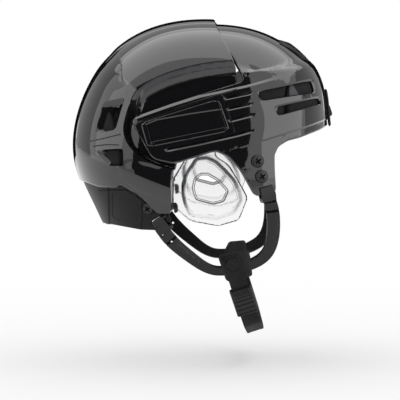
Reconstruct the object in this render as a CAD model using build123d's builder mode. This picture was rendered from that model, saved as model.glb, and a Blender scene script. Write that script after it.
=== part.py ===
from build123d import *
from math import atan2, cos, degrees, radians, sin, sqrt
import os

os.makedirs("parts", exist_ok=True)

# Driving sizes, in millimetres
shell_length = 252.0
half_width = 106.0
wall = 2.6
adjust_travel = 12.0
clearance = 0.3
running_gap = 0.4
curve_power = 2.3
side_reach = 85.2
section_points = 6

# Side drawing: steps run forward and down from its corner, 260 of them along the shell
drawing_steps = 260.0
step = shell_length / drawing_steps
ear_point_shares = (197.0, 185.0)

# The drawing looks slightly down on the side: what lies further out is this share higher
sight_rise = 0.0945
sight_rounds = 4

# Depths below the outer skin
dome_inset = 7.0
brow_step_shares = 5.0
pocket_depth = 7.8
cut_margin = 3.0
side_span = 150.0
crown_cut_span = 400.0

# Outer skin: fan angle above the forward axis, and radius in drawing steps
master_rows_shares = [
    (-36, 118), (-14, 130), (8, 137.5), (20, 141.5), (27, 146.5), (35, 156.5), (44, 166.3), (54, 170),
    (70, 169.3), (86, 166), (104, 164), (122, 158), (138, 147), (154, 136), (168, 125.5), (180, 114.5),
    (190, 107.5), (202, 104), (216, 103), (240, 101),
]
dome_radius_shares = {44: 161.5, 54: 165.8, 70: 165.3, 86: 161, 104: 158.3, 122: 152}
front_first_angle = -36
front_last_angle = 154
arm_first_angle = 44
arm_last_angle = 168
rear_first_angle = 54
nape_first_angle = 154
rear_last_angle = 240

# Side outlines in drawing steps
rear_outline_shares = [
    (213, 0), (216, 24), (228, 50), (240, 78), (222, 118), (196, 150), (176, 160), (171, 180), (172, 214),
    (158, 214), (150, 206), (140, 196), (122, 184), (118, 187), (100, 187), (86, 183), (50, 183), (50, 0),
]
pocket_outline_shares = [
    (262, 60), (215, 64), (165, 75), (128, 98), (122, 120), (126, 142), (140, 158), (152, 166),
    (176, 172), (200, 190), (262, 150),
]
front_outline_shares = [
    (185, -10), (345, -10), (345, 112), (328, 124.5), (320, 130), (300, 138), (285, 142), (276, 148),
    (273, 165), (275, 193), (254, 197), (240, 172), (228, 158), (215, 152), (175, 165), (153, 160),
    (133, 124), (170, 105), (210, 92), (244, 81.5), (234.5, 59), (231, 53), (222, 46), (185, 46),
]
brow_crest_start = 4
crest_line_shares = [(110, 131), (133, 121), (170, 105), (210, 92), (250, 80), (290, 70), (313, 63), (345, 52)]
vent_outlines_shares = [
    [(113.5, 104.8), (126, 99.5), (118, 130.7), (104.2, 132.5)],
    [(98, 151), (121, 150), (124, 165), (110, 166)],
]
front_slot_outlines_shares = [
    [(258, 92), (262, 88), (300, 81), (309, 82), (312.5, 94), (298, 96), (262, 103)],
    [(273, 108), (278, 103), (318, 95), (325, 97), (322, 103), (280, 114)],
]
nape_outline_shares = [
    (60, 174), (118, 174), (128, 178), (146, 190), (160, 203), (168, 213), (171, 222), (157, 231.5),
    (140, 231), (112, 226), (104, 225), (98, 224), (60, 224),
]

# Crown vent insert and brow plate
insert_rise = 4.6
insert_first_angle = 35
insert_last_angle = 70
insert_outline_shares = [(281, -10), (345, -10), (345, 60), (307, 63), (294, 58), (281, 46)]
insert_half_width = 21.0
insert_nose_half_width = 13.0
insert_back_x = 78.0
insert_front_x = 107.5
insert_slot_half_width = 4.5
insert_slot_offset = 9.0
insert_slot_back_x = 84.0
insert_slot_front_x = 98.0
brow_plate_shares = [(345, 88), (322, 92), (319, 122), (322, 128), (345, 126)]
brow_plate_rise = 2.6
brow_plate_half_width = 11.0
brow_button_radius = 5.8
brow_button_rise = 2.6
brow_button_share = (345, 108)

# Side latch, its pin and the size adjuster
latch_outline_shares = [(142, 125), (218.5, 101.5), (229.5, 133), (149, 149)]
latch_axis_shares = [(219.5, 101.5), (230.5, 132.5)]
latch_recess = 1.2
latch_rise = 0.6
latch_thickness = 1.6
latch_axis_depth = 1.1
barrel_radius = 1.5
barrel_slot_depth = 10.4
barrel_slot_end = 1.0
pin_radius = 0.8
pin_gap = 0.1
pin_reach = 3.0
finger_notch_shares = [(138.5, 131), (145.5, 129), (149.5, 144), (144.5, 145.5)]
peg_share = (172, 133)
peg_length = 6.0
peg_width = 5.0
peg_depth = 4.2
peg_gap = 1.4
rack_depth = 6.0
rack_width = 8.0
rack_tooth = 1.2
rack_pitch = 2.4
rack_teeth = 9
stud_share = (192, 118)
stud_radius = 2.5
spacer_radius = 4.0
nut_radius = 5.5
nut_sides = 6
nut_height = 2.0

# Screws
screw_head_radius = 6.2
screw_head_height = 2.0
screw_edge = 0.6
screw_radius = 2.5
cross_length = 6.4
cross_width = 1.3
cross_depth = 1.3
temple_screw_shares = [(256, 162), (260, 177)]
rear_screw_share = (149.5, 208.5)
rear_screw_head_radius = 5.2

# Ear guard
guard_outline_shares = [
    (185, 160), (215, 157), (228, 165), (247, 198), (238, 220), (218, 226), (190, 221), (172.5, 206), (172.5, 180),
]
guard_tab_shares = [(188, 165), (188, 146), (215, 144.5), (215, 165)]
guard_step_shares = [
    (190, 168), (213, 165), (222, 171), (238, 198), (232, 213), (216, 219), (192, 214.5), (181, 205), (180, 182),
]
guard_hole_shares = [(199, 176), (207, 174), (220, 183), (226, 194), (222, 202), (213, 203), (196, 199), (194, 186)]
guard_inner_face = 98.0
guard_wall = 2.0
guard_rise = 3.2
guard_step_draft = 20.0
guard_rim = 1.6
guard_rivet_shares = [(195, 152), (209, 149)]
rivet_radius = 2.0
rivet_head_radius = 3.4
rivet_head_height = 1.2
rivet_reach = 3.0
guard_clip_share = (176.6, 207.5)
guard_clip_length = 10.0
guard_clip_width = 6.0
guard_clip_wall = 1.6
guard_clip_turn = 10.0

# Harness loops
strap_slot_share = (264.3, 188.3)
strap_slot_turn = 14.0
nape_slot_share = (159.0, 220.0)
nape_slot_turn = 33.0
slot_length = 17.0
slot_height = 4.4
ring_width = 13.5
ring_leaf = 2.0
ring_gap = 0.6
ring_inner_gap = 2.8
ring_neck = 3.4
front_bar_bottom = 8.3
rear_bar_bottom = 8.9
ring_foot = 5.0
loop_thickness = 3.5
front_loop_route_shares = [
    (267, 200), (270, 208), (272, 216), (272.5, 228), (271.5, 240), (268, 251), (262, 259.5), (257, 263.5),
    (252.8, 266),
]
front_loop_width_shares = [13.9, 13.9, 13.4, 13, 13, 12.6, 12, 11.4, 8]
rear_loop_route_shares = [
    (166.5, 232), (172, 239.5), (180, 247), (189, 254.5), (198, 261.5), (204, 265.2), (210, 266.8), (214.4, 267),
]
rear_loop_width_shares = [13.4, 13.4, 13, 12.4, 12, 11.6, 11, 8]
bar_height_share = 267.0
bar_side = 77.0
bar_radius = 2.5
bar_joint_share = 233.0
bar_overlap = 3.0

# Chin strap, its sleeves, snap and buckle
sleeve_back_share = 217.5
sleeve_front_share = 250.0
sleeve_up = 9.0
sleeve_down = 11.0
sleeve_gap = 1.0
sleeve_thickness = 9.0
sleeve_corner = 3.0
strap_lean = 17.8
strap_width = 16.3
strap_thickness = 2.0
strap_drop = 76.6
strap_knee_side = 64.0
strap_knee_drop = 58.3
strap_knee_radius = 12.0
strap_base_radius = 120.0
strap_tab_up = 12.5
strap_tab_radius = 8.0
strap_tab_drop = 5.5
strap_end_drop = 6.2
snap_up = 4.5
snap_neck_radius = 2.0
snap_radius = 6.0
snap_cap_height = 1.6
socket_radius = 4.6
socket_height = 1.4
buckle_width = 21.5
buckle_length = 29.0
buckle_thickness = 6.4
buckle_down = 3.5
buckle_corner = 2.0
buckle_rib = 0.8
buckle_rib_width = 1.4
buckle_ribs = 5

# Liner pads
pad_gap = 0.6
pad_thickness = 10.0
liner_depth = 11.2
crown_pad_front_shares = [(246, -10), (310, -10), (310, 54), (290, 62), (250, 72), (246, 72)]
crown_pad_rear_shares = [(118, -10), (222, -10), (222, 44), (180, 50), (118, 72)]
dome_tail_room_shares = [(177, -10), (240, -10), (240, 90), (177, 90)]
brow_pad_shares = [(288, 79), (313, 72), (345, 64), (345, 108), (326, 118), (300, 129), (288, 132)]
temple_pad_shares = [(247, 88), (285, 79), (285, 134), (275, 138), (268, 146), (247, 146)]
side_pad_shares = [(112, 100), (160, 86), (176, 108), (172, 146), (150, 156), (128, 140)]
back_pad_shares = [(60, 84), (104, 84), (112, 120), (120, 150), (120, 168), (60, 168)]
nape_pad_shares = [(60, 186), (132, 186), (142, 204), (138, 222), (60, 222)]


# Line of sight of the side drawing, from the middle plane out to the left
sight_line = Vector(0, 1, sight_rise)


def side(point):
    """Place a drawing point in the plane that looks at the helmet's side."""
    return ((point[0] - ear_point_shares[0]) * step, (ear_point_shares[1] - point[1]) * step)


def side_at(point, y):
    """Place a drawing point that lies out at one side."""
    x, z = side(point)
    return (x, z + y * sight_rise)


def fan_plane(angle):
    """Plane through the side axis, turned up from the forward axis."""
    turn = radians(angle)
    return Plane(origin=(0, 0, 0), x_dir=(0, 1, 0), z_dir=(sin(turn), 0, -cos(turn)))


def arc_points(radius, width):
    """Half of the rounded arch that one fan plane cuts out of the skin."""
    points = []
    for number in range(section_points + 1):
        turn = radians(side_reach * number / section_points)
        points.append((width * sin(turn) ** (2 / curve_power), radius * cos(turn) ** (2 / curve_power)))
    return points


def face_arc(angle, radius_share, depth, on_dome):
    """One arc of the skin, or of the dome that lies lower, at a depth below it."""
    if on_dome:
        radius_share = dome_radius_shares.get(angle, radius_share - brow_step_shares)
        return arc_points(radius_share * step - depth, half_width - dome_inset - depth)
    return arc_points(radius_share * step - depth, half_width - depth)


def skin(first, last, outer_depth, inner_depth, outer_dome=False, inner_dome=False):
    """Left half of a shell that follows the skin or the dome between two depths."""
    with BuildPart() as piece:
        for angle, radius_share in master_rows_shares:
            if first <= angle <= last:
                outer_points = face_arc(angle, radius_share, outer_depth, outer_dome)
                inner_points = face_arc(angle, radius_share, inner_depth, inner_dome)
                with BuildSketch(fan_plane(angle)):
                    with BuildLine():
                        Spline(*outer_points)
                        Line(outer_points[-1], inner_points[-1])
                        Spline(*inner_points)
                        Line(inner_points[0], outer_points[0])
                    make_face()
        loft()
    return piece.part


def radius_at(angle):
    """Radius share of the skin between the fan rows."""
    rows = master_rows_shares
    for (low, low_share), (high, high_share) in zip(rows, rows[1:]):
        if low <= angle <= high:
            return low_share + (high_share - low_share) * (angle - low) / (high - low)
    return rows[-1][1] if angle > rows[-1][0] else rows[0][1]


def side_reach_at(x, z, depth):
    """How far the skin stands out to the side over one point of the side view."""
    angle = degrees(atan2(z, x))
    if angle < master_rows_shares[0][0]:
        angle += 360
    share = sqrt(x * x + z * z) / (radius_at(angle) * step - depth)
    return (half_width - depth) * max(1 - share ** curve_power, 0) ** (1 / curve_power)


def on_skin(point, depth=0.0):
    """Place on the left skin, or below it, that a drawing point shows."""
    x, z = side(point)
    for _ in range(sight_rounds):
        y = side_reach_at(x, z, depth)
        z = side_at(point, y)[1]
    return (x, y, z)


def prism(*outlines, grow=0.0):
    """Left half prism over side outlines, made larger or smaller by an offset."""
    with BuildPart() as piece:
        for outline in outlines:
            with BuildSketch(Plane.XZ):
                with BuildLine():
                    Polyline(*[on_skin(point)[::2] for point in outline], close=True)
                make_face()
                if grow:
                    offset(amount=grow, kind=Kind.INTERSECTION)
        extrude(amount=-side_span)
    return piece.part


def skin_plane(point, depth, turn=0.0):
    """Plane that touches the left skin at a drawing point, facing outward, its x axis turned up."""
    probe = step
    x, y, z = on_skin(point, depth)
    slope_x = (side_reach_at(x + probe, z, depth) - y) / probe
    slope_z = (side_reach_at(x, z + probe, depth) - y) / probe
    flat = Plane(origin=(x, y, z), x_dir=(1, slope_x, 0), z_dir=(-slope_x, 1, -slope_z))
    along = flat.x_dir * cos(radians(turn)) - flat.y_dir * sin(radians(turn))
    return Plane(origin=flat.origin, x_dir=along, z_dir=flat.z_dir)


def save(piece, name):
    """Label a finished piece and write it."""
    piece.label = name
    export_step(piece, f"parts/{name}.step")


def save_pair(piece, name):
    """Write a left piece and its mirror image on the right."""
    save(piece, f"{name}_left")
    save(mirror(piece, about=Plane.XZ), f"{name}_right")


def hole_through(plane, radius, depth, above):
    """Round cutter along a plane's normal, from above it to a depth below it."""
    with BuildPart() as cutter:
        with BuildSketch(plane.offset(above)):
            Circle(radius)
        extrude(amount=-depth - above)
    return cutter.part


def slot_through(plane, length, height):
    """Straight slot cutter across a plane."""
    with BuildPart() as cutter:
        with BuildSketch(plane):
            SlotOverall(length, height)
        extrude(amount=pocket_depth, both=True)
    return cutter.part


# Planes that several pieces share
temple_planes = [skin_plane(point, 0) for point in temple_screw_shares]
nape_depth = wall + clearance
nape_wall = wall - running_gap
rear_screw_plane = skin_plane(rear_screw_share, nape_depth)
front_slot_plane = skin_plane(strap_slot_share, 0, strap_slot_turn)
nape_slot_plane = skin_plane(nape_slot_share, nape_depth, nape_slot_turn)
stud_plane = skin_plane(stud_share, 0)
peg_plane = skin_plane(peg_share, 0)
guard_face = Plane(origin=sight_line * guard_inner_face, x_dir=(1, 0, 0), z_dir=(0, -1, 0))
bar_x, bar_z = side_at((bar_joint_share, bar_height_share), bar_side)
axis_ends = [skin_plane(point, latch_axis_depth).origin for point in latch_axis_shares]
axis_vector = axis_ends[1] - axis_ends[0]
axis_plane = Plane(origin=axis_ends[0], x_dir=stud_plane.z_dir, z_dir=axis_vector)
latch_length = axis_vector.length


def axis_rod(radius, start, end):
    """Round rod or cutter along the latch's hinge axis."""
    with BuildPart() as rod:
        with BuildSketch(axis_plane.offset(start)):
            Circle(radius)
        extrude(amount=end - start)
    return rod.part


# Rear shell: the skin with a sunken side pocket on each side, in which the front shell's arm runs
pocket_prism = prism(pocket_outline_shares)
with BuildPart() as guide_slot:
    with BuildSketch(stud_plane):
        with Locations((adjust_travel / 2, 0)):
            SlotOverall(adjust_travel + 2 * (stud_radius + running_gap), 2 * (stud_radius + running_gap))
    extrude(amount=-side_span / 2)

with BuildPart() as rear_shell:
    add(skin(rear_first_angle, rear_last_angle, 0, pocket_depth + wall))
    add(prism(rear_outline_shares), mode=Mode.INTERSECT)
    add(skin(rear_first_angle, rear_last_angle, wall, pocket_depth + wall + cut_margin)
        - prism(pocket_outline_shares, grow=wall), mode=Mode.SUBTRACT)
    add(skin(rear_first_angle, rear_last_angle, -cut_margin, pocket_depth) & pocket_prism, mode=Mode.SUBTRACT)
    add(prism(*vent_outlines_shares), mode=Mode.SUBTRACT)
    add(guide_slot.part, mode=Mode.SUBTRACT)
    add(hole_through(rear_screw_plane, rear_screw_head_radius + clearance, cut_margin, cut_margin * 2),
        mode=Mode.SUBTRACT)
    mirror(about=Plane.XZ)
save(rear_shell.part, "rear_shell")

# Front shell: a low dome, a raised brow band and an arm along each side
dome_zone_shares = [(100, -10), (345, -10)] + crest_line_shares[::-1]
arm_top_shares = [(110, 118), (170, 98), (210, 85), (242, 79)]
brow_top_shares = [(x, z + wall / step) for x, z in crest_line_shares[brow_crest_start:]]
band_zone_shares = arm_top_shares + brow_top_shares + [(345, 230), (110, 230)]
with BuildPart() as barrel_slot:
    with BuildSketch(axis_plane.offset(-barrel_slot_end)):
        Rectangle(barrel_slot_depth, 2 * (barrel_radius + 2 * running_gap))
    extrude(amount=latch_length + 2 * barrel_slot_end)
with BuildPart() as peg_hole:
    with BuildSketch(peg_plane):
        Rectangle(peg_length + 2 * peg_gap, peg_width + 2 * peg_gap)
    extrude(amount=pocket_depth / 2, both=True)

with BuildPart() as guard_rivet_rod:
    with BuildSketch(guard_face):
        with Locations(*[side(point) for point in guard_rivet_shares]):
            Circle(rivet_radius)
    extrude(amount=-guard_wall - rivet_reach)

with BuildPart() as front_shell:
    add(skin(front_first_angle, front_last_angle, 0, wall, inner_dome=True))
    add(prism(front_outline_shares), mode=Mode.INTERSECT)
    add(skin(front_first_angle, front_last_angle, -cut_margin, 0, inner_dome=True) & prism(dome_zone_shares),
        mode=Mode.SUBTRACT)
    add(skin(front_first_angle, front_last_angle, wall, wall + cut_margin, inner_dome=True)
        & prism(band_zone_shares), mode=Mode.SUBTRACT)
    add(prism(*front_slot_outlines_shares, finger_notch_shares), mode=Mode.SUBTRACT)
    add(skin(arm_first_angle, arm_last_angle, -cut_margin, latch_recess)
        & prism(latch_outline_shares, grow=clearance), mode=Mode.SUBTRACT)
    add(barrel_slot.part, mode=Mode.SUBTRACT)
    add(axis_rod(pin_radius, -pin_reach, latch_length + pin_reach), mode=Mode.SUBTRACT)
    add(peg_hole.part, mode=Mode.SUBTRACT)
    add(hole_through(stud_plane, stud_radius, pocket_depth, cut_margin), mode=Mode.SUBTRACT)
    add(guard_rivet_rod.part, mode=Mode.SUBTRACT)
    for plane in temple_planes:
        add(hole_through(plane, screw_radius, pocket_depth, cut_margin), mode=Mode.SUBTRACT)
    add(slot_through(front_slot_plane, slot_length, slot_height), mode=Mode.SUBTRACT)
    mirror(about=Plane.XZ)
save(front_shell.part, "front_shell")

# Nape panel, tucked inside the rear shell
with BuildPart() as nape_panel:
    add(skin(nape_first_angle, rear_last_angle, nape_depth, nape_depth + nape_wall))
    add(prism(nape_outline_shares), mode=Mode.INTERSECT)
    add(hole_through(rear_screw_plane, screw_radius, pocket_depth, cut_margin), mode=Mode.SUBTRACT)
    add(slot_through(nape_slot_plane, slot_length, slot_height), mode=Mode.SUBTRACT)
    mirror(about=Plane.XZ)
save(nape_panel.part, "nape_panel")

# Crown vent insert: a raised scoop on the front of the dome with two slots
with BuildPart() as insert_plan:
    with BuildSketch(Plane.XY):
        with BuildLine():
            Polyline(
                (insert_back_x, insert_half_width), (insert_front_x, insert_nose_half_width),
                (insert_front_x, 0), (insert_back_x, 0), close=True,
            )
        make_face()
        with Locations(((insert_slot_back_x + insert_slot_front_x) / 2, insert_slot_offset)):
            SlotOverall(insert_slot_front_x - insert_slot_back_x, insert_slot_half_width * 2, mode=Mode.SUBTRACT)
    extrude(amount=crown_cut_span)

with BuildPart() as crown_vent_insert:
    add(skin(insert_first_angle, insert_last_angle, -insert_rise, -clearance / 2, True, True))
    add(prism(insert_outline_shares), mode=Mode.INTERSECT)
    add(insert_plan.part, mode=Mode.INTERSECT)
    mirror(about=Plane.XZ)
save(crown_vent_insert.part, "crown_vent_insert")

# Brow plate and its button, at the middle of the brow
brow_first_angle = 8
brow_last_angle = 54
with BuildPart() as brow_block:
    with BuildSketch(Plane.YZ):
        Rectangle(brow_plate_half_width * 2, side_span * 2)
    extrude(amount=side_span * 2)
with BuildPart() as brow_plate:
    add(skin(brow_first_angle, brow_last_angle, -brow_plate_rise, -clearance / 2))
    add(prism(brow_plate_shares), mode=Mode.INTERSECT)
    mirror(about=Plane.XZ)
    add(brow_block.part, mode=Mode.INTERSECT)
save(brow_plate.part, "brow_plate")

with BuildPart() as button_block:
    with BuildSketch(Plane.YZ):
        with Locations((0, side(brow_button_share)[1])):
            Circle(brow_button_radius)
    extrude(amount=side_span * 2)
with BuildPart() as brow_button:
    add(skin(brow_first_angle, brow_last_angle, -brow_plate_rise - brow_button_rise, -brow_plate_rise))
    mirror(about=Plane.XZ)
    add(button_block.part, mode=Mode.INTERSECT)
save(brow_button.part, "brow_button")

# Side latch: a thin cover that swings out about the pin at its front edge and presses a peg at the adjuster
with BuildPart() as latch_peg:
    with BuildSketch(peg_plane.offset(-latch_thickness / 2)):
        Rectangle(peg_length, peg_width)
    extrude(amount=latch_thickness / 2 - peg_depth)
with BuildPart() as side_latch:
    add(skin(arm_first_angle, arm_last_angle, -latch_rise, latch_thickness - latch_rise))
    add(prism(latch_outline_shares), mode=Mode.INTERSECT)
    add(axis_rod(barrel_radius, running_gap, latch_length - running_gap))
    add(axis_rod(pin_radius + pin_gap, 0, latch_length), mode=Mode.SUBTRACT)
    add(latch_peg.part)
save_pair(side_latch.part, "side_latch")
save_pair(axis_rod(pin_radius, -pin_reach, latch_length + pin_reach), "latch_pin")

# Adjuster rack on the pocket's floor, under the latch's peg
rack_length = rack_teeth * rack_pitch
with BuildPart() as rack_block:
    with BuildSketch(peg_plane.offset(-pocket_depth * 2)):
        with Locations((adjust_travel / 2, 0)):
            Rectangle(rack_length + rack_pitch, rack_width)
    extrude(amount=pocket_depth * 2 - rack_depth - rack_tooth)
    with BuildSketch(peg_plane.offset(-pocket_depth)):
        with Locations((adjust_travel / 2, 0)):
            with GridLocations(rack_pitch, 0, rack_teeth, 1):
                Rectangle(rack_pitch / 2, rack_width)
    extrude(amount=pocket_depth - rack_depth)
with BuildPart() as adjust_rack:
    add(skin(arm_first_angle, arm_last_angle, wall, pocket_depth))
    add(rack_block.part, mode=Mode.INTERSECT)
save_pair(adjust_rack.part, "adjust_rack")

# Guide stud through the arm and the pocket's slot, with its spacer collar and its nut
floor_inner = pocket_depth + wall
spacer_height = pocket_depth - wall - 2 * clearance - running_gap
with BuildPart() as guide_stud:
    with BuildSketch(stud_plane.offset(-wall - clearance)):
        Circle(spacer_radius)
    extrude(amount=-spacer_height)
    with BuildSketch(stud_plane.offset(-latch_recess - clearance)):
        Circle(stud_radius)
    extrude(amount=-(floor_inner + running_gap * 2 + nut_height - latch_recess))
save_pair(guide_stud.part, "guide_stud")
with BuildPart() as guide_nut:
    with BuildSketch(stud_plane.offset(-floor_inner - running_gap * 2)):
        RegularPolygon(nut_radius, nut_sides)
        Circle(stud_radius, mode=Mode.SUBTRACT)
    extrude(amount=-nut_height)
save_pair(guide_nut.part, "guide_nut")


def screw(plane, head_radius, length):
    """Low round screw with a cross recess and a plain shank."""
    with BuildPart() as piece:
        with BuildSketch(plane):
            Circle(head_radius)
        extrude(amount=screw_head_height)
        chamfer(piece.edges().sort_by(Axis(plane.origin, plane.z_dir))[-1], length=screw_edge)
        with BuildSketch(plane):
            Circle(screw_radius)
        extrude(amount=-length)
        with BuildSketch(plane.offset(screw_head_height)):
            Rectangle(cross_length, cross_width)
            Rectangle(cross_width, cross_length)
        extrude(amount=-cross_depth, mode=Mode.SUBTRACT)
    return piece.part


def square_nut(plane, depth):
    """Square nut on a screw's shank behind a wall."""
    with BuildPart() as piece:
        with BuildSketch(plane.offset(-depth)):
            RectangleRounded(nut_radius * 2, nut_radius * 2, screw_edge)
            Circle(screw_radius, mode=Mode.SUBTRACT)
        extrude(amount=-nut_height)
    return piece.part


# Screws at the temples and at the nape
screw_seat = clearance
nut_seat = 3 * clearance
screw_length = wall + screw_seat + nut_seat + nut_height
temple_screws = Compound(children=[screw(plane.offset(screw_seat), screw_head_radius, screw_length)
                                   for plane in temple_planes])
save_pair(temple_screws, "temple_screws")
temple_nuts = Compound(children=[square_nut(plane, wall + nut_seat) for plane in temple_planes])
save_pair(temple_nuts, "temple_nuts")
save_pair(screw(rear_screw_plane.offset(screw_seat), rear_screw_head_radius, screw_length), "rear_screw")
save_pair(square_nut(rear_screw_plane, nape_wall + nut_seat), "rear_nut")


def outline_face(*outlines, grow=0.0):
    """Flat faces over side outlines, drawn in the side view's own axes."""
    with BuildSketch(Plane.XY) as sketch:
        for outline in outlines:
            with BuildLine():
                Polyline(*[side(point) for point in outline], close=True)
            make_face()
        offset(amount=grow, kind=Kind.INTERSECTION)
    return sketch.sketch


# Ear guard: a clear flange with a raised middle, a rimmed hearing hole and a hanging tab
with BuildPart() as ear_guard:
    with BuildSketch(guard_face):
        add(outline_face(guard_outline_shares, guard_tab_shares))
    extrude(amount=-guard_wall)
    with BuildSketch(guard_face):
        add(outline_face(guard_step_shares))
    extrude(amount=-guard_wall - guard_rise, taper=guard_step_draft)
    with BuildSketch(guard_face):
        add(outline_face(guard_step_shares, grow=-guard_wall))
    extrude(amount=-guard_rise, taper=guard_step_draft, mode=Mode.SUBTRACT)
    with BuildSketch(guard_face):
        add(outline_face(guard_hole_shares, grow=guard_rim))
    extrude(amount=-guard_wall - guard_rise - guard_rim)
    with BuildSketch(guard_face):
        add(outline_face(guard_hole_shares))
    extrude(amount=-guard_wall - guard_rise - guard_rim, mode=Mode.SUBTRACT)
    add(guard_rivet_rod.part, mode=Mode.SUBTRACT)
save_pair(ear_guard.part, "ear_guard")

with BuildPart() as guard_rivets:
    add(guard_rivet_rod.part)
    with BuildSketch(guard_face):
        with Locations(*[side(point) for point in guard_rivet_shares]):
            Circle(rivet_head_radius)
    extrude(amount=rivet_head_height)
save_pair(guard_rivets.part, "guard_rivets")

with BuildPart() as guard_clip:
    with BuildSketch(guard_face.offset(guard_clip_wall)):
        with Locations(Location((*side(guard_clip_share), 0), (0, 0, guard_clip_turn))):
            RectangleRounded(guard_clip_width, guard_clip_length, screw_edge)
    extrude(amount=-guard_wall - 2 * guard_clip_wall)
    add(ear_guard.part, mode=Mode.SUBTRACT)
save_pair(guard_clip.part, "guard_clip")


# Harness loops: each half hangs in a slot of the shell and they meet inside the chin strap's sleeve
def strap_face(route, widths):
    """Side view face of a strap that follows a route and changes its width."""
    upper = []
    lower = []
    for number, (x, z) in enumerate(route):
        before = route[max(number - 1, 0)]
        after = route[min(number + 1, len(route) - 1)]
        run = sqrt((after[0] - before[0]) ** 2 + (after[1] - before[1]) ** 2)
        across = ((after[1] - before[1]) / run, -(after[0] - before[0]) / run)
        half = widths[number] / 2
        upper.append(side((x + across[0] * half, z + across[1] * half)))
        lower.append(side((x - across[0] * half, z - across[1] * half)))
    with BuildSketch(Plane.XY) as sketch:
        with BuildLine():
            Spline(*upper)
            Line(upper[-1], lower[-1])
            Spline(*lower)
            Line(lower[0], upper[0])
        make_face()
    return sketch.sketch


def strap_ring(slot_plane, panel_wall, bar_bottom):
    """Closed end of a strap around the bar below its slot."""
    profile_plane = Plane(origin=slot_plane.origin, x_dir=slot_plane.z_dir, z_dir=slot_plane.x_dir)
    room = panel_wall + ring_gap + ring_inner_gap
    middle = ring_gap - room / 2
    with BuildPart() as ring:
        with BuildSketch(profile_plane):
            with Locations((middle, (ring_neck / 2 - bar_bottom - ring_foot) / 2)):
                Rectangle(room + 2 * ring_leaf, ring_neck / 2 + bar_bottom + ring_foot)
            fillet(vertices(), radius=ring_leaf / 2)
            with Locations((middle, -(ring_neck / 2 + bar_bottom) / 2)):
                Rectangle(room, bar_bottom - ring_neck / 2, mode=Mode.SUBTRACT)
        extrude(amount=ring_width / 2, both=True)
    return ring.part


def ring_foot_point(slot_plane, panel_wall, bar_bottom):
    """Middle of the ring's foot, where the flat strap starts."""
    return slot_plane.origin + slot_plane.y_dir * (bar_bottom + ring_foot / 2) - slot_plane.z_dir * (panel_wall / 2)


bar_point = Vector(bar_x, bar_side, bar_z)
front_foot = ring_foot_point(front_slot_plane, wall, front_bar_bottom)
rear_foot = ring_foot_point(nape_slot_plane, nape_wall, rear_bar_bottom)
loop_normal = (rear_foot - front_foot).cross(bar_point - front_foot).normalized()
loop_plane = Plane(origin=bar_point, z_dir=loop_normal)
with BuildPart() as loop_slab:
    with BuildSketch(loop_plane.offset(-loop_thickness / 2)):
        Rectangle(crown_cut_span, crown_cut_span)
    extrude(amount=loop_thickness)


def loop_half(ring, route, widths, bar_start, bar_length):
    """Half of a harness loop: ring, flat strap and the round bar inside the sleeve."""
    with BuildPart() as piece:
        with BuildSketch(Plane.XZ):
            add(strap_face(route, widths))
        extrude(amount=side_span, dir=sight_line)
        add(loop_slab.part, mode=Mode.INTERSECT)
        add(ring)
        with BuildSketch(Plane(origin=(bar_start, bar_side, bar_z), z_dir=(1, 0, 0))):
            Circle(bar_radius)
        extrude(amount=bar_length)
    return piece.part


sleeve_back_x = side((sleeve_back_share, 0))[0]
sleeve_front_x = side((sleeve_front_share, 0))[0]
bar_out = sleeve_gap + bar_overlap
front_bar_start = bar_x + running_gap / 2
front_loop = loop_half(
    strap_ring(front_slot_plane, wall, front_bar_bottom), front_loop_route_shares, front_loop_width_shares,
    front_bar_start, sleeve_front_x + bar_out - front_bar_start)
rear_loop = loop_half(
    strap_ring(nape_slot_plane, nape_wall, rear_bar_bottom), rear_loop_route_shares, rear_loop_width_shares,
    sleeve_back_x - bar_out, bar_x - running_gap / 2 - sleeve_back_x + bar_out)
save_pair(front_loop, "front_loop")
save_pair(rear_loop, "rear_loop")

# Chin strap: a flat webbing that leans forward as it hangs in a shallow U
strap_plane = Plane(origin=(bar_x, 0, bar_z), x_dir=(0, 1, 0),
                    z_dir=(cos(radians(strap_lean)), 0, sin(radians(strap_lean))))
tab_side = bar_side + sleeve_thickness / 2 + clearance + strap_thickness / 2
strap_tab_end = sleeve_down + strap_tab_drop


def strap_solid(width, thickness):
    """Webbing along the U, at a given width and thickness."""
    with BuildPart() as piece:
        with BuildLine(strap_plane):
            FilletPolyline(
                (-tab_side, strap_tab_up), (-tab_side, -strap_tab_end), (-strap_knee_side, -strap_knee_drop),
                (0, -strap_drop), (strap_knee_side, -strap_knee_drop), (bar_side, -strap_end_drop),
                radius=[strap_tab_radius, strap_knee_radius, strap_base_radius, strap_knee_radius],
            )
        tab_top = strap_plane.from_local_coords(Vector(-tab_side, strap_tab_up, 0))
        with BuildSketch(Plane(origin=tab_top, x_dir=(0, 1, 0), z_dir=-strap_plane.y_dir)):
            Rectangle(thickness, width)
        sweep()
    return piece.part


snap_point = strap_plane.from_local_coords(Vector(-tab_side - strap_thickness / 2, snap_up, 0))
snap_plane = Plane(origin=snap_point, x_dir=(1, 0, 0), z_dir=(0, -1, 0))
with BuildPart() as chin_strap:
    add(strap_solid(strap_width, strap_thickness))
    add(hole_through(snap_plane, snap_neck_radius, strap_thickness * 2, strap_thickness), mode=Mode.SUBTRACT)
save(chin_strap.part, "chin_strap")


def sleeve():
    """Fabric sleeve around a loop's bar, on the left."""
    with BuildPart() as piece:
        with BuildSketch(Plane.YZ.offset(sleeve_back_x)):
            with Locations((bar_side, bar_z + (sleeve_up - sleeve_down) / 2)):
                RectangleRounded(sleeve_thickness, sleeve_up + sleeve_down, sleeve_corner)
            with Locations((bar_side, bar_z)):
                Circle(bar_radius + running_gap, mode=Mode.SUBTRACT)
        extrude(amount=sleeve_front_x - sleeve_back_x)
    return piece.part


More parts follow.
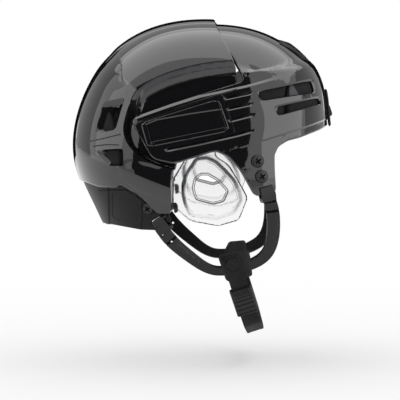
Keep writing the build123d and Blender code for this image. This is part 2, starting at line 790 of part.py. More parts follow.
with BuildPart() as strap_sleeve_left:
    add(sleeve())
    add(strap_solid(strap_width + 2 * clearance, strap_thickness + 2 * clearance), mode=Mode.SUBTRACT)
save(strap_sleeve_left.part, "strap_sleeve_left")

socket_plane = Plane(origin=snap_point + Vector(0, strap_thickness + clearance, 0), x_dir=(1, 0, 0), z_dir=(0, -1, 0))
with BuildPart() as strap_sleeve_right:
    add(mirror(sleeve(), about=Plane.XZ))
    add(hole_through(socket_plane, socket_radius, socket_height, clearance), mode=Mode.SUBTRACT)
save(strap_sleeve_right.part, "strap_sleeve_right")
with BuildPart() as snap_socket:
    with BuildSketch(socket_plane):
        Circle(socket_radius)
        Circle(snap_neck_radius, mode=Mode.SUBTRACT)
    extrude(amount=-socket_height)
save(snap_socket.part, "snap_socket")
with BuildPart() as snap_stud:
    with BuildSketch(snap_plane):
        Circle(snap_radius)
    extrude(amount=snap_cap_height)
    fillet(snap_stud.faces().sort_by(Axis.Y)[0].edges(), radius=snap_cap_height / 2)
    with BuildSketch(snap_plane):
        Circle(snap_neck_radius)
    extrude(amount=-strap_thickness)
save(snap_stud.part, "snap_stud")

# Strap buckle: a ribbed slider on the right leg of the strap
leg_top = strap_plane.from_local_coords(Vector(-tab_side, -strap_tab_end, 0))
leg_foot = strap_plane.from_local_coords(Vector(-strap_knee_side, -strap_knee_drop, 0))
leg_way = (leg_foot - leg_top).normalized()
buckle_plane = Plane(origin=leg_top + leg_way * buckle_down, x_dir=strap_plane.z_dir, z_dir=leg_way)
with BuildPart() as strap_buckle:
    with BuildSketch(buckle_plane):
        RectangleRounded(buckle_width, buckle_thickness, buckle_corner)
        Rectangle(strap_width + 2 * clearance, strap_thickness + 2 * clearance, mode=Mode.SUBTRACT)
    extrude(amount=buckle_length)
    rib_side = buckle_plane.y_dir if buckle_plane.y_dir.Y < 0 else -buckle_plane.y_dir
    rib_origin = buckle_plane.origin + leg_way * (buckle_length / 2) + rib_side * (buckle_thickness / 2)
    with BuildSketch(Plane(origin=rib_origin, x_dir=leg_way, z_dir=rib_side)):
        with GridLocations(buckle_length / buckle_ribs, 0, buckle_ribs, 1):
            Rectangle(buckle_rib_width, buckle_width - 2 * buckle_corner)
    extrude(amount=buckle_rib)
save(strap_buckle.part, "strap_buckle")


def pad(outline, outer_depth, on_dome=False):
    """Left half of a foam pad between two depths."""
    with BuildPart() as piece:
        add(skin(front_first_angle, front_last_angle if on_dome else rear_last_angle,
                 outer_depth, outer_depth + pad_thickness, on_dome, on_dome))
        add(prism(outline), mode=Mode.INTERSECT)
    return piece.part


def save_middle_pad(piece, name):
    """Write a pad that crosses the middle of the helmet."""
    with BuildPart() as whole:
        add(piece)
        mirror(about=Plane.XZ)
    save(whole.part, name)


# Liner pads, each on the inner face of the shell that carries it
near_depth = wall + pad_gap
save_middle_pad(pad(crown_pad_front_shares, near_depth, on_dome=True), "crown_pad_front")
save_middle_pad(pad(brow_pad_shares, near_depth), "brow_pad")
with BuildPart() as crown_pad_rear:
    add(skin(rear_first_angle, rear_last_angle, near_depth, liner_depth + pad_thickness))
    add(prism(crown_pad_rear_shares), mode=Mode.INTERSECT)
    add(skin(rear_first_angle, rear_last_angle, 0, liner_depth) & prism(dome_tail_room_shares), mode=Mode.SUBTRACT)
save_middle_pad(crown_pad_rear.part, "crown_pad_rear")
save_middle_pad(pad(back_pad_shares, near_depth), "back_pad")
save_middle_pad(pad(nape_pad_shares, nape_depth + nape_wall + pad_gap), "nape_pad")
save_pair(pad(temple_pad_shares, near_depth), "temple_pad")
save_pair(pad(side_pad_shares, liner_depth), "side_pad")
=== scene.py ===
import math

import bmesh
import bpy
import numpy as np
from mathutils import Matrix, Vector


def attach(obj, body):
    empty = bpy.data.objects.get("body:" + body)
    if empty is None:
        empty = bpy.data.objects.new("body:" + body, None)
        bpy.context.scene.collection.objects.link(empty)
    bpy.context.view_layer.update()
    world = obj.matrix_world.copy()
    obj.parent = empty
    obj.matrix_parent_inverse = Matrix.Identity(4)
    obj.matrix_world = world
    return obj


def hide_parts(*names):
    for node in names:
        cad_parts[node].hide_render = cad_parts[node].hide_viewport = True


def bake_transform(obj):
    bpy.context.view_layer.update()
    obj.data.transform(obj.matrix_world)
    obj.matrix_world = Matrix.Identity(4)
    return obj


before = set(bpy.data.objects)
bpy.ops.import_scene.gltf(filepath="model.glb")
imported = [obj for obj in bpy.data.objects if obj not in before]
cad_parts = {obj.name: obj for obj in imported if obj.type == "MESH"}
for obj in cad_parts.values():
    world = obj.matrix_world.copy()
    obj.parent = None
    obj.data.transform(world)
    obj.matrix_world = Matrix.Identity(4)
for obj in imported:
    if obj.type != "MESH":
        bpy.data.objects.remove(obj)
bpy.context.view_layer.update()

# The side drawing: one step in metres, the ear point, and how much higher the sides lie in it
STEP = 0.252 / 260
EAR_U, EAR_V = 197.0, 185.0
SIGHT_RISE = 0.0945
MM = 0.001
PER_METRE = 1000
SIDES = ((1, "left"), (-1, "right"))

# Shell form: half width, section power, and the radius in steps over the fan angle
HALF_WIDTH = 0.106
CURVE_POWER = 2.3
SIDE_REACH = 85.2
SKIN_ROWS = [
    (-36, 118), (-14, 130), (8, 137.5), (20, 141.5), (27, 146.5), (35, 156.5), (44, 166.3), (54, 170),
    (70, 169.3), (86, 166), (104, 164), (122, 158), (138, 147), (154, 136), (168, 125.5), (180, 114.5),
    (190, 107.5), (202, 104), (216, 103), (240, 101),
]
DOME_ROWS = [
    (-36, 113), (-14, 125), (8, 132.5), (20, 136.5), (27, 141.5), (35, 151.5), (44, 161.5), (54, 165.8),
    (70, 165.3), (86, 161), (104, 158.3), (122, 152), (138, 142), (154, 131), (168, 120.5), (180, 109.5),
]
DOME_INSET = 0.007
WALL = 0.0026
THIN_WALL = 0.0008

# Limits of the sums: a distance past everything, and a share or length taken as nothing
FAR = 1e9
LEAST = 1e-9
SOFT = 1e-6


# ---------------------------------------------------------------- drawing geometry
def smooth_curve(rows):
    """Natural cubic curve through rows of angle and radius."""
    x, y = np.array(rows, float).T
    gap = np.diff(x)
    count = len(x)
    system = np.eye(count)
    right = np.zeros(count)
    for i in range(1, count - 1):
        system[i, i - 1:i + 2] = gap[i - 1], 2 * (gap[i - 1] + gap[i]), gap[i]
        right[i] = 3 * ((y[i + 1] - y[i]) / gap[i] - (y[i] - y[i - 1]) / gap[i - 1])
    bend = np.linalg.solve(system, right)

    def value(at):
        k = np.clip(np.searchsorted(x, at) - 1, 0, count - 2)
        d = at - x[k]
        slope = (y[k + 1] - y[k]) / gap[k] - gap[k] * (2 * bend[k] + bend[k + 1]) / 3
        return y[k] + d * (slope + d * (bend[k] + d * (bend[k + 1] - bend[k]) / (3 * gap[k])))

    return value


skin_radius = smooth_curve(SKIN_ROWS)
dome_radius = smooth_curve(DOME_ROWS)


def fan_point(angle, turn, radius, width):
    """Point of the rounded arch that a fan plane cuts, by its turn from the crown to the side."""
    swing = np.radians(np.abs(turn))
    reach = radius * np.cos(swing) ** (2 / CURVE_POWER)
    side = np.sign(turn) * width * np.sin(swing) ** (2 / CURVE_POWER)
    lean = np.radians(angle)
    return np.stack([reach * np.cos(lean), side, reach * np.sin(lean)], axis=-1)


def skin_point(angle, turn, depth=0.0):
    """Point of the outer skin, or below it."""
    return fan_point(angle, turn, skin_radius(angle) * STEP - depth, HALF_WIDTH - depth)


def dome_point(angle, turn, rise=0.0):
    """Point of the low dome, or above it."""
    return fan_point(angle, turn, dome_radius(angle) * STEP + rise, HALF_WIDTH - DOME_INSET + rise)


def drawn(points):
    """Where points lie in the side drawing."""
    u = EAR_U + points[..., 0] / STEP
    v = EAR_V - (points[..., 2] - np.abs(points[..., 1]) * SIGHT_RISE) / STEP
    return np.stack([u, v], axis=-1)


def placed(point, y):
    """Place a drawing point at a distance out to one side."""
    return Vector(((point[0] - EAR_U) * STEP, y, (EAR_V - point[1]) * STEP + abs(y) * SIGHT_RISE))


def softened(outline, rounds=2, share=0.18, closed=True):
    """Cut an outline's corners so that they become small curves."""
    points = np.array(outline, float)
    for _ in range(rounds):
        after = np.roll(points, -1, axis=0)
        near = points * (1 - share) + after * share
        far = points * share + after * (1 - share)
        cut = np.stack([near, far], axis=1).reshape(-1, 2)
        points = cut if closed else np.vstack([points[:1], cut[1:-3], points[-1:]])
    return points


def line_distance(points, line):
    """Distance from points to a run of straight lines, and the side that they lie on."""
    line = np.array(line, float)
    best = np.full(len(points), FAR)
    side = np.ones(len(points))
    for start, end in zip(line[:-1], line[1:]):
        way = end - start
        share = np.clip(((points - start) @ way) / (way @ way), 0, 1)
        off = points - start - share[:, None] * way
        length = np.hypot(off[:, 0], off[:, 1])
        turn = way[0] * (points[:, 1] - start[1]) - way[1] * (points[:, 0] - start[0])
        closer = length < best
        side = np.where(closer, np.sign(turn), side)
        best = np.where(closer, length, best)
    return best, side


def signed_gap(points, line):
    """Distance from points to a run of straight lines, negative on one side of it."""
    return np.prod(line_distance(points, line), axis=0)


def inside(points, outline):
    """Distance to a closed outline, positive inside it."""
    ring = np.vstack([outline, outline[:1]])
    distance, _ = line_distance(points, ring)
    odd = np.zeros(len(points), bool)
    for start, end in zip(ring[:-1], ring[1:]):
        spans = (start[1] > points[:, 1]) != (end[1] > points[:, 1])
        rise = end[1] - start[1] if end[1] != start[1] else LEAST
        crossing = start[0] + (points[:, 1] - start[1]) * (end[0] - start[0]) / rise
        odd ^= spans & (points[:, 0] < crossing)
    return np.where(odd, distance, -distance)


def eased(value, low, high):
    """Smooth step from 0 at low to 1 at high."""
    share = np.clip((value - low) / (high - low), 0, 1)
    return share * share * (3 - 2 * share)


def ramp(value, rows):
    """Value read off a run of straight slopes, given as rows of place and height."""
    return np.interp(value, *np.array(rows, float).T)


# ---------------------------------------------------------------- scored sheets
SNAP = 0.04
TRIES = 3


def grid_sheet(first, second):
    """Sheet of triangles over two rows of values: both coordinates and the corners."""
    u, v = np.meshgrid(first, second, indexing="ij")
    index = np.arange(u.size).reshape(u.shape)
    a, b, c, d = (part.ravel() for part in (index[:-1, :-1], index[1:, :-1], index[1:, 1:], index[:-1, 1:]))
    return [u.ravel(), v.ravel(), np.vstack([np.stack([a, b, c], 1), np.stack([a, c, d], 1)])]


def fan_sheet(first, last, angle_step, turn_step, reach=SIDE_REACH):
    """Sheet of triangles over the fan, by angle and turn."""
    rows = int(round((last - first) / angle_step)) + 1
    columns = 2 * int(round(reach / turn_step)) + 1
    return grid_sheet(np.linspace(first, last, rows), np.linspace(-reach, reach, columns))


def turned(array, shift):
    """Each row rolled on by its own shift."""
    return np.take_along_axis(array, (shift[:, None] + np.arange(3)) % 3, axis=1)


def crossing_share(field, low, high, low_value, high_value):
    """How far along each cut edge the level line crosses it."""
    share = low_value / (low_value - high_value)
    near, far = np.zeros(len(share)), np.ones(len(share))
    near_value, far_value = low_value, high_value
    for _ in range(TRIES):
        found = field(*(low * (1 - share) + high * share))
        same = found * near_value > 0
        near, near_value = np.where(same, share, near), np.where(same, found, near_value)
        far, far_value = np.where(same, far, share), np.where(same, far_value, found)
        gap = near_value - far_value
        better = near + (far - near) * near_value / np.where(gap == 0, 1, gap)
        share = np.where(np.abs(gap) > LEAST, better, share)
    return share


def scored(sheet, field, levels=(0.0,)):
    """Split a sheet's triangles along level lines of a field, so that edges follow them."""
    for level in levels:
        places, tris = np.stack(sheet[:2]), sheet[2]
        value = field(*places) - level
        value = np.where(np.abs(value) < SNAP, 0.0, value)
        corner = value[tris]
        cross = corner * np.roll(corner, -1, axis=1) < 0
        if not cross.any():
            continue
        ends = np.stack([tris, np.roll(tris, -1, axis=1)], axis=2)
        pairs, place = np.unique(np.sort(ends[cross], axis=1), axis=0, return_inverse=True)
        low, high = places[:, pairs[:, 0]], places[:, pairs[:, 1]]
        share = crossing_share(lambda u, v: field(u, v) - level, low, high, *value[pairs].T)
        middle = np.full(tris.shape, -1)
        middle[cross] = places.shape[1] + place.ravel()
        places = np.hstack([places, low * (1 - share) + high * share])
        count = cross.sum(axis=1)
        one, two = count == 1, count == 2
        first = np.argmax(cross[one], axis=1)
        t, m = turned(tris[one], first), turned(middle[one], first)
        last = (np.argmin(cross[two], axis=1) - 1) % 3
        s, n = turned(tris[two], last), turned(middle[two], last)
        tris = np.vstack([
            tris[count == 0],
            np.stack([t[:, 0], m[:, 0], t[:, 2]], 1), np.stack([m[:, 0], t[:, 1], t[:, 2]], 1),
            np.stack([s[:, 0], n[:, 0], n[:, 2]], 1), np.stack([n[:, 0], s[:, 1], s[:, 2]], 1),
            np.stack([n[:, 0], s[:, 2], n[:, 2]], 1),
        ])
        sheet = [*places, tris]
    return sheet


def trimmed(sheet, field):
    """Keep the part of a scored sheet where the field is positive."""
    u, v, tris = sheet
    keep = field(u, v)[tris].mean(axis=1) > 0
    used, place = np.unique(tris[keep], return_inverse=True)
    return [u[used], v[used], place.reshape(-1, 3)]


def cut_out(sheet, field, levels):
    """Keep the part of a sheet where a field is positive, with level lines of the field scored."""
    return trimmed(scored(sheet, field, levels), field)


def cut_away(sheet, field, levels=(0.0,)):
    """Take the part of a sheet away where a field is positive, with level lines of the field scored."""
    return trimmed(scored(sheet, field, levels), lambda u, v: -field(u, v))


def in_drawing(test):
    """Field over the fan from a test on the skin's place in the drawing."""
    return lambda angle, turn: test(drawn(skin_point(angle, turn)))


def within(*outlines):
    """Field over the fan of the distance into the nearest of some outlines of the drawing."""
    return in_drawing(lambda spots: np.max([inside(spots, outline) for outline in outlines], axis=0))


def beside(line):
    """Field over the fan of the signed distance to a line of the drawing."""
    return in_drawing(lambda spots: signed_gap(spots, line))


def scored_lines(sheet, lines, levels=(0.0,)):
    """Score a fan sheet beside several lines of the drawing."""
    for line in lines:
        sheet = scored(sheet, beside(line), levels)
    return sheet


def both_sides(rows):
    """Level lines on both sides of a line, where a run of slopes turns."""
    places = [place for place, _ in rows]
    return [-place for place in places[::-1]] + places


def grooved(depth, spots, line, rows):
    """Sink a groove along a line; rows give its depth in millimetres over the distance."""
    return np.maximum(depth, ramp(line_distance(spots, line)[0], rows) * MM)


# ---------------------------------------------------------------- objects
def linked(name, data):
    """New object in the scene."""
    thing = bpy.data.objects.new(name, data)
    bpy.context.scene.collection.objects.link(thing)
    return thing


def smoothed(mesh, sharp):
    """Smooth shading with edges sharper than an angle kept."""
    mesh.shade_smooth()
    mesh.set_sharp_from_angle(angle=math.radians(sharp))


def paint(piece, material):
    """Give a piece one material."""
    piece.data.materials.clear()
    piece.data.materials.append(material)
    return piece


def fit(piece, body, slot, *nodes):
    """Let a piece stand for its CAD solids and ride its body; the slot is not used."""
    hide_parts(*nodes)
    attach(piece, body)


def shell_mesh(name, outer, inner, tris, masks=None, sharp=16):
    """Closed wall between two layers of points over the same triangles."""
    count = len(outer)
    edges = np.vstack([tris[:, [0, 1]], tris[:, [1, 2]], tris[:, [2, 0]]])
    _, place, times = np.unique(np.sort(edges, axis=1), axis=0, return_inverse=True, return_counts=True)
    rim = edges[times[place.ravel()] == 1]
    wall = np.stack([rim[:, 1], rim[:, 0], rim[:, 0] + count, rim[:, 1] + count], 1)
    mesh = bpy.data.meshes.new(name)
    faces = tris.tolist() + (tris[:, ::-1] + count).tolist() + wall.tolist()
    mesh.from_pydata(np.vstack([outer, inner]).tolist(), [], faces)
    for key, values in (masks or {}).items():
        layer = mesh.attributes.new(key, "FLOAT", "POINT")
        layer.data.foreach_set("value", np.append(values, values).astype(np.float32))
    mesh.update()
    smoothed(mesh, sharp)
    return linked(name, mesh)


def add_parts(mesh, parts):
    """Add lists of vertices and faces to a mesh, with their faces turned outwards."""
    work = bmesh.new()
    work.from_mesh(mesh)
    for vertices, faces in parts:
        made = [work.verts.new(vertex) for vertex in vertices]
        new_faces = [work.faces.new([made[k] for k in face]) for face in faces]
        bmesh.ops.recalc_face_normals(work, faces=new_faces)
    work.to_mesh(mesh)
    work.free()


def mesh_piece(name, parts, material, sharp):
    """One object from several lists of vertices and faces."""
    mesh = bpy.data.meshes.new(name)
    add_parts(mesh, parts)
    smoothed(mesh, sharp)
    return paint(linked(name, mesh), material)


def tube_faces(rings, count, capped=True):
    """Faces between rings of points, with the first and last ring closed."""
    faces = []
    for ring in range(rings - 1):
        for k in range(count):
            a, b = ring * count + k, ring * count + (k + 1) % count
            faces.append((a, b, b + count, a + count))
    if capped:
        faces += [tuple(range(count))[::-1], tuple(range((rings - 1) * count, rings * count))]
    return faces


# ---------------------------------------------------------------- shader nodes
def node_group(name, inputs, outputs):
    """Empty shader group with named number sockets."""
    group = bpy.data.node_groups.new(name, "ShaderNodeTree")
    for label, value in inputs:
        socket = group.interface.new_socket(label, in_out="INPUT", socket_type="NodeSocketFloat")
        socket.default_value = value
    for label in outputs:
        group.interface.new_socket(label, in_out="OUTPUT", socket_type="NodeSocketFloat")
    return group, group.nodes.new("NodeGroupInput"), group.nodes.new("NodeGroupOutput")


def settle(made, **values):
    """Set a node's own values, named with underscores."""
    for key, value in values.items():
        made.inputs[key.replace("_", " ")].default_value = value
    return made


def node(tree, kind, **settings):
    """New node with its plain settings; those that start with in_ are inputs."""
    made = tree.nodes.new(kind)
    for key, value in settings.items():
        if key.startswith("in_"):
            settle(made, **{key[3:]: value})
        else:
            setattr(made, key, value)
    return made


def object_place(tree):
    """Coordinate that follows the object."""
    return node(tree, "ShaderNodeTexCoord").outputs["Object"]


def mask_of(tree, name):
    """Mask that the piece's own mesh carries."""
    return node(tree, "ShaderNodeAttribute", attribute_name=name).outputs["Fac"]


def noise(tree, vector, scale, detail=3.0, rough=0.55):
    """Noise over a coordinate."""
    made = node(tree, "ShaderNodeTexNoise", in_Scale=scale, in_Detail=detail, in_Roughness=rough)
    tree.links.new(vector, made.inputs["Vector"])
    return made.outputs["Fac"]


def spread(tree, value, low, high, to_low=0.0, to_high=1.0):
    """Map a value from one range to another; the new ends may be sockets."""
    made = node(tree, "ShaderNodeMapRange", in_From_Min=low, in_From_Max=high)
    tree.links.new(value, made.inputs["Value"])
    for socket, end in zip(("To Min", "To Max"), (to_low, to_high)):
        if isinstance(end, float):
            made.inputs[socket].default_value = end
        else:
            tree.links.new(end, made.inputs[socket])
    return made.outputs["Result"]


def maths(tree, kind, a, b):
    """One sum on two sockets or numbers."""
    made = node(tree, "ShaderNodeMath", operation=kind)
    for place, value in enumerate((a, b)):
        if isinstance(value, (int, float)):
            made.inputs[place].default_value = value
        else:
            tree.links.new(value, made.inputs[place])
    return made.outputs[0]


def colours(tree, factor, first, second):
    """Blend of two colours, each plain or from a socket."""
    made = node(tree, "ShaderNodeMix", data_type="RGBA")
    sockets = [socket for socket in made.inputs if socket.type == "RGBA"]
    for socket, value in zip(sockets, (first, second)):
        if isinstance(value, tuple):
            socket.default_value = (*value, 1)
        else:
            tree.links.new(value, socket)
    tree.links.new(factor, made.inputs["Factor"])
    return [socket for socket in made.outputs if socket.type == "RGBA"][0]


# ---------------------------------------------------------------- moulded finishes
STREAK_TURN = (0.4, 0.9, 0.3)
STREAK_STRETCH = (1.0, 14.0, 1.0)
SCRATCH_DEPTH = 0.4
SCRATCH_BLUR = 0.25
COAT_ROUGHNESS = 0.03


def make_grain_group():
    """Moulding grain, handling marks and dust that several finishes share."""
    group, start, end = node_group(
        "moulded_finish",
        [("Grain Scale", 900.0), ("Grain", 0.5), ("Scratches", 0.3), ("Rough Low", 0.1), ("Rough High", 0.2)],
        ["Height", "Roughness", "Marks"],
    )
    place = object_place(group)
    grain = node(group, "ShaderNodeTexNoise", in_Detail=2.0, in_Roughness=0.6)
    group.links.new(place, grain.inputs["Vector"])
    group.links.new(start.outputs["Grain Scale"], grain.inputs["Scale"])
    lines = node(group, "ShaderNodeMapping", in_Rotation=STREAK_TURN, in_Scale=STREAK_STRETCH)
    group.links.new(place, lines.inputs["Vector"])
    streaks = noise(group, lines.outputs["Vector"], 60.0, 4.0, 0.7)
    patches = noise(group, place, 14.0, 2.0)
    scratch = maths(group, "MULTIPLY", spread(group, streaks, 0.66, 0.72), spread(group, patches, 0.48, 0.62))
    scratch = maths(group, "MULTIPLY", scratch, start.outputs["Scratches"])
    height = maths(group, "MULTIPLY", grain.outputs["Fac"], start.outputs["Grain"])
    height = maths(group, "SUBTRACT", height, maths(group, "MULTIPLY", scratch, SCRATCH_DEPTH))
    blur = spread(group, patches, 0.3, 0.75, start.outputs["Rough Low"], start.outputs["Rough High"])
    rough = maths(group, "ADD", blur, maths(group, "MULTIPLY", scratch, SCRATCH_BLUR))
    for label, value in (("Height", height), ("Roughness", rough), ("Marks", scratch)):
        group.links.new(value, end.inputs[label])
    return group


grain_group = make_grain_group()


def new_material(name):
    """Material with its node tree and main shader."""
    material = bpy.data.materials.new(name)
    material.use_nodes = True
    return material, material.node_tree, material.node_tree.nodes["Principled BSDF"]


def raised(tree, shader, height, strength, distance):
    """Let a height stand out on a shader's face."""
    bump = node(tree, "ShaderNodeBump", in_Strength=strength, in_Distance=distance)
    tree.links.new(height, bump.inputs["Height"])
    tree.links.new(bump.outputs["Normal"], shader.inputs["Normal"])


def grained(tree, shader, scale, grain, scratches, rough, bump):
    """Put the shared grain's height and roughness on a shader, and give its marks."""
    marks = node(tree, "ShaderNodeGroup")
    marks.node_tree = grain_group
    settle(marks, Grain_Scale=scale, Grain=grain, Scratches=scratches)
    settle(marks, Rough_Low=rough[0], Rough_High=rough[1])
    tree.links.new(marks.outputs["Roughness"], shader.inputs["Roughness"])
    raised(tree, shader, marks.outputs["Height"], *bump)
    return marks.outputs["Marks"]


def moulded(name, dark, worn, grain, rough, bump, coat=0.0, metallic=0.0):
    """Moulded or coated finish on the shared grain; grain holds its scale, its height and its scratches."""
    material, tree, shader = new_material(name)
    marks = grained(tree, shader, *grain, rough, (bump, 0.0004))
    tree.links.new(colours(tree, marks, dark, worn), shader.inputs["Base Color"])
    settle(shader, Metallic=metallic, Coat_Weight=coat, Coat_Roughness=COAT_ROUGHNESS)
    return material


def masked(material, mask_name, colour, rough):
    """Let a finish take another colour and roughness where the piece's own mask says so."""
    tree = material.node_tree
    shader = tree.nodes["Principled BSDF"]
    mask = mask_of(tree, mask_name)
    base, plain_rough = (shader.inputs[label].links[0].from_socket for label in ("Base Color", "Roughness"))
    tree.links.new(colours(tree, mask, base, colour), shader.inputs["Base Color"])
    mask_rough = maths(tree, "MULTIPLY", mask, rough) if rough < 1 else mask
    tree.links.new(maths(tree, "MAXIMUM", plain_rough, mask_rough), shader.inputs["Roughness"])
    return tree, shader, mask


gloss_black = moulded("gloss_black", (0.008, 0.008, 0.009), (0.05, 0.05, 0.055), (260.0, 0.05, 0.10),
                      (0.035, 0.075), 0.02, coat=1.0)
satin_black = moulded("satin_black", (0.014, 0.014, 0.015), (0.06, 0.06, 0.062), (1500.0, 0.5, 0.4),
                      (0.32, 0.45), 0.35)
loop_black = moulded("loop_black", (0.010, 0.010, 0.011), (0.06, 0.06, 0.065), (1300.0, 0.4, 0.5),
                     (0.28, 0.42), 0.3)
screw_black = moulded("screw_black", (0.006, 0.006, 0.007), (0.10, 0.10, 0.105), (1600.0, 0.3, 0.6),
                      (0.10, 0.17), 0.12)
matte_black = moulded("matte_black", (0.006, 0.006, 0.007), (0.04, 0.04, 0.042), (1500.0, 0.5, 0.4),
                      (0.4, 0.55), 0.35)
steel = moulded("steel", (0.42, 0.42, 0.43), (0.6, 0.6, 0.61), (900.0, 0.4, 0.6), (0.25, 0.4), 0.2,
                metallic=1.0)
for dull, level in ((loop_black, 0.42), (satin_black, 0.4), (matte_black, 0.25)):
    settle(dull.node_tree.nodes["Principled BSDF"], Specular_IOR_Level=level)

# The gloss turns satin, paler and bare of its coat on cut edges; recesses turn dull and get painted shade,
# near black
tree, shader, mask = masked(gloss_black, "satin", (0.062, 0.063, 0.068), 0.5)
tree.links.new(maths(tree, "SUBTRACT", 1.0, mask), shader.inputs["Coat Weight"])
# Painted shade: the recesses of screws and loops are painted near black where their pit mask says so
for recessed in (screw_black, loop_black):
    masked(recessed, "pit", (0.001, 0.001, 0.001), 1)


# ---------------------------------------------------------------- cloth, foam and clear plastic
THREAD_TURNS = (0.6, 2.17)
FABRIC_SPECULAR = 0.25
FOAM_PALE = ((0.055, 0.052, 0.06), (0.17, 0.165, 0.18))
# Clear colour, and the colour of the painted shade along the guard's edges
CLEAR_AND_EDGE_SHADE = ((0.992, 0.992, 0.996), (0.07, 0.072, 0.08))


def woven(name, dark, light, threads, bump, rough, sheen, fuzz=0.0):
    """Woven fabric: crossed threads, loose fibres and faded patches."""
    material, tree, shader = new_material(name)
    place = object_place(tree)
    waves = []
    for turn in THREAD_TURNS:
        crossed = node(tree, "ShaderNodeMapping", in_Rotation=(0.0, turn, 0.0))
        tree.links.new(place, crossed.inputs["Vector"])
        wave = node(tree, "ShaderNodeTexWave", in_Scale=threads, in_Distortion=1.2, in_Detail=2.0,
                    in_Detail_Scale=2.0)
        tree.links.new(crossed.outputs["Vector"], wave.inputs["Vector"])
        waves.append(wave.outputs["Fac"])
    fibres = noise(tree, place, 2600.0, 4.0, 0.7)
    patches = noise(tree, place, 45.0)
    height = maths(tree, "ADD", maths(tree, "MULTIPLY", *waves), maths(tree, "MULTIPLY", fibres, 0.5 + fuzz))
    tone = maths(tree, "MULTIPLY", maths(tree, "ADD", height, patches), 0.45)
    tree.links.new(colours(tree, spread(tree, tone, 0.3, 0.75), dark, light), shader.inputs["Base Color"])
    tree.links.new(spread(tree, patches, 0.3, 0.7, *rough), shader.inputs["Roughness"])
    raised(tree, shader, height, bump, 0.0005)
    settle(shader, Sheen_Weight=sheen, Sheen_Roughness=0.4, Specular_IOR_Level=FABRIC_SPECULAR)
    return material


def foamed(name, dark, light):
    """Closed cell foam: small cells, pores, a dull face and a paler patch where the mask says so."""
    material, tree, shader = new_material(name)
    place = object_place(tree)
    cells = node(tree, "ShaderNodeTexVoronoi", in_Scale=900.0)
    tree.links.new(place, cells.inputs["Vector"])
    pores = spread(tree, cells.outputs["Distance"], 0.0, 0.6)
    patches = noise(tree, place, 60.0, 4.0)
    tone = maths(tree, "MULTIPLY", pores, patches)
    plain, pale = colours(tree, tone, dark, light), colours(tree, tone, *FOAM_PALE)
    tree.links.new(colours(tree, mask_of(tree, "pale"), plain, pale), shader.inputs["Base Color"])
    tree.links.new(spread(tree, patches, 0.3, 0.7, 0.8, 0.95), shader.inputs["Roughness"])
    raised(tree, shader, pores, 0.5, 0.0004)
    settle(shader, Specular_IOR_Level=0.2)
    return material


def clear_plastic(name):
    """Clear moulded plastic with faint haze and flow marks, and painted shade along the edges where the
    piece's edge mask says so.
    """
    material, tree, shader = new_material(name)
    marks = grained(tree, shader, 220.0, 0.6, 0.4, (0.04, 0.16), (0.12, 0.0005))
    # Painted shade: the edge mask darkens the clear plastic along its edges; the scratch marks add a little
    marks_and_edge_shade = maths(tree, "ADD", mask_of(tree, "edge"), maths(tree, "MULTIPLY", marks, 0.15))
    tree.links.new(colours(tree, marks_and_edge_shade, *CLEAR_AND_EDGE_SHADE), shader.inputs["Base Color"])
    settle(shader, Transmission_Weight=1.0, IOR=1.3)
    return material


guard_clear = clear_plastic("guard_clear")
sleeve_fuzz = woven("sleeve_fuzz", (0.003, 0.003, 0.0035), (0.050, 0.050, 0.053), 420.0, 1.0,
                    (0.85, 0.98), 0.08, 0.8)
webbing_black = woven("webbing_black", (0.004, 0.004, 0.0045), (0.040, 0.040, 0.042), 300.0, 0.8,
                      (0.6, 0.8), 0.05)
thread_black = woven("thread_black", (0.02, 0.02, 0.021), (0.09, 0.09, 0.092), 900.0, 0.5, (0.5, 0.7), 0.1)
foam_black = foamed("foam_black", (0.007, 0.007, 0.0075), (0.032, 0.032, 0.034))


# ---------------------------------------------------------------- places on the skin
def side_reach_at(x, z, depth):
    """How far the skin stands out to the side over one point of the side view."""
    angle = math.degrees(math.atan2(z, x))
    if angle < SKIN_ROWS[0][0]:
        angle += 360
    share = math.hypot(x, z) / (float(skin_radius(angle)) * STEP - depth)
    return (HALF_WIDTH - depth) * max(1 - share ** CURVE_POWER, 0) ** (1 / CURVE_POWER)


def on_skin(point, depth):
    """Place on the left skin, or below it, that a drawing point shows."""
    y = 0.0
    for _ in range(5):
        spot = placed(point, y)
        y = side_reach_at(spot.x, spot.z, depth)
    return placed(point, y)


def skin_frame(point, depth, turn):
    """Axes that touch the left skin at a drawing point: origin, along, down and out."""
    origin = on_skin(point, depth)
    reach = side_reach_at(origin.x, origin.z, depth)
    slope_x = (side_reach_at(origin.x + STEP, origin.z, depth) - reach) / STEP
    slope_z = (side_reach_at(origin.x, origin.z + STEP, depth) - reach) / STEP
    out = Vector((-slope_x, 1, -slope_z)).normalized()
    flat = Vector((1, slope_x, 0)).normalized()
    down = out.cross(flat)
    lean = math.radians(turn)
    along = flat * math.cos(lean) - down * math.sin(lean)
    return origin, along, out.cross(along), out


def mirrored(vector, side):
    """A vector, or its mirror image on the right side."""
    return Vector((vector.x, vector.y * side, vector.z))


def edge_roll(distance, size):
    """How far a rolled edge falls away, in metres, at a distance from it in steps."""
    near = np.clip(distance / size, 0, 1)
    return (1 - np.sqrt(1 - (1 - near) ** 2)) * size * STEP


# ---------------------------------------------------------------- flat and swept pieces
def flat_sheet(left, right, top, bottom, grain):
    """Sheet of triangles over a patch of the side drawing."""
    columns = int((right - left) / grain) + 1
    rows = int((bottom - top) / grain) + 1
    return grid_sheet(np.linspace(left, right, columns), np.linspace(top, bottom, rows))


def on_sheet(test):
    """Field over a flat sheet from a test on its drawing points."""
    return lambda u, v: test(np.stack([u, v], axis=-1))


def within_flat(outline):
    """Field over a flat sheet of the distance into an outline of the drawing."""
    return on_sheet(lambda spots: inside(spots, outline))


def side_points(u, v, y):
    """Places of drawing points at distances out to the left."""
    return np.stack([(u - EAR_U) * STEP, y, (EAR_V - v) * STEP + np.abs(y) * SIGHT_RISE], axis=-1)


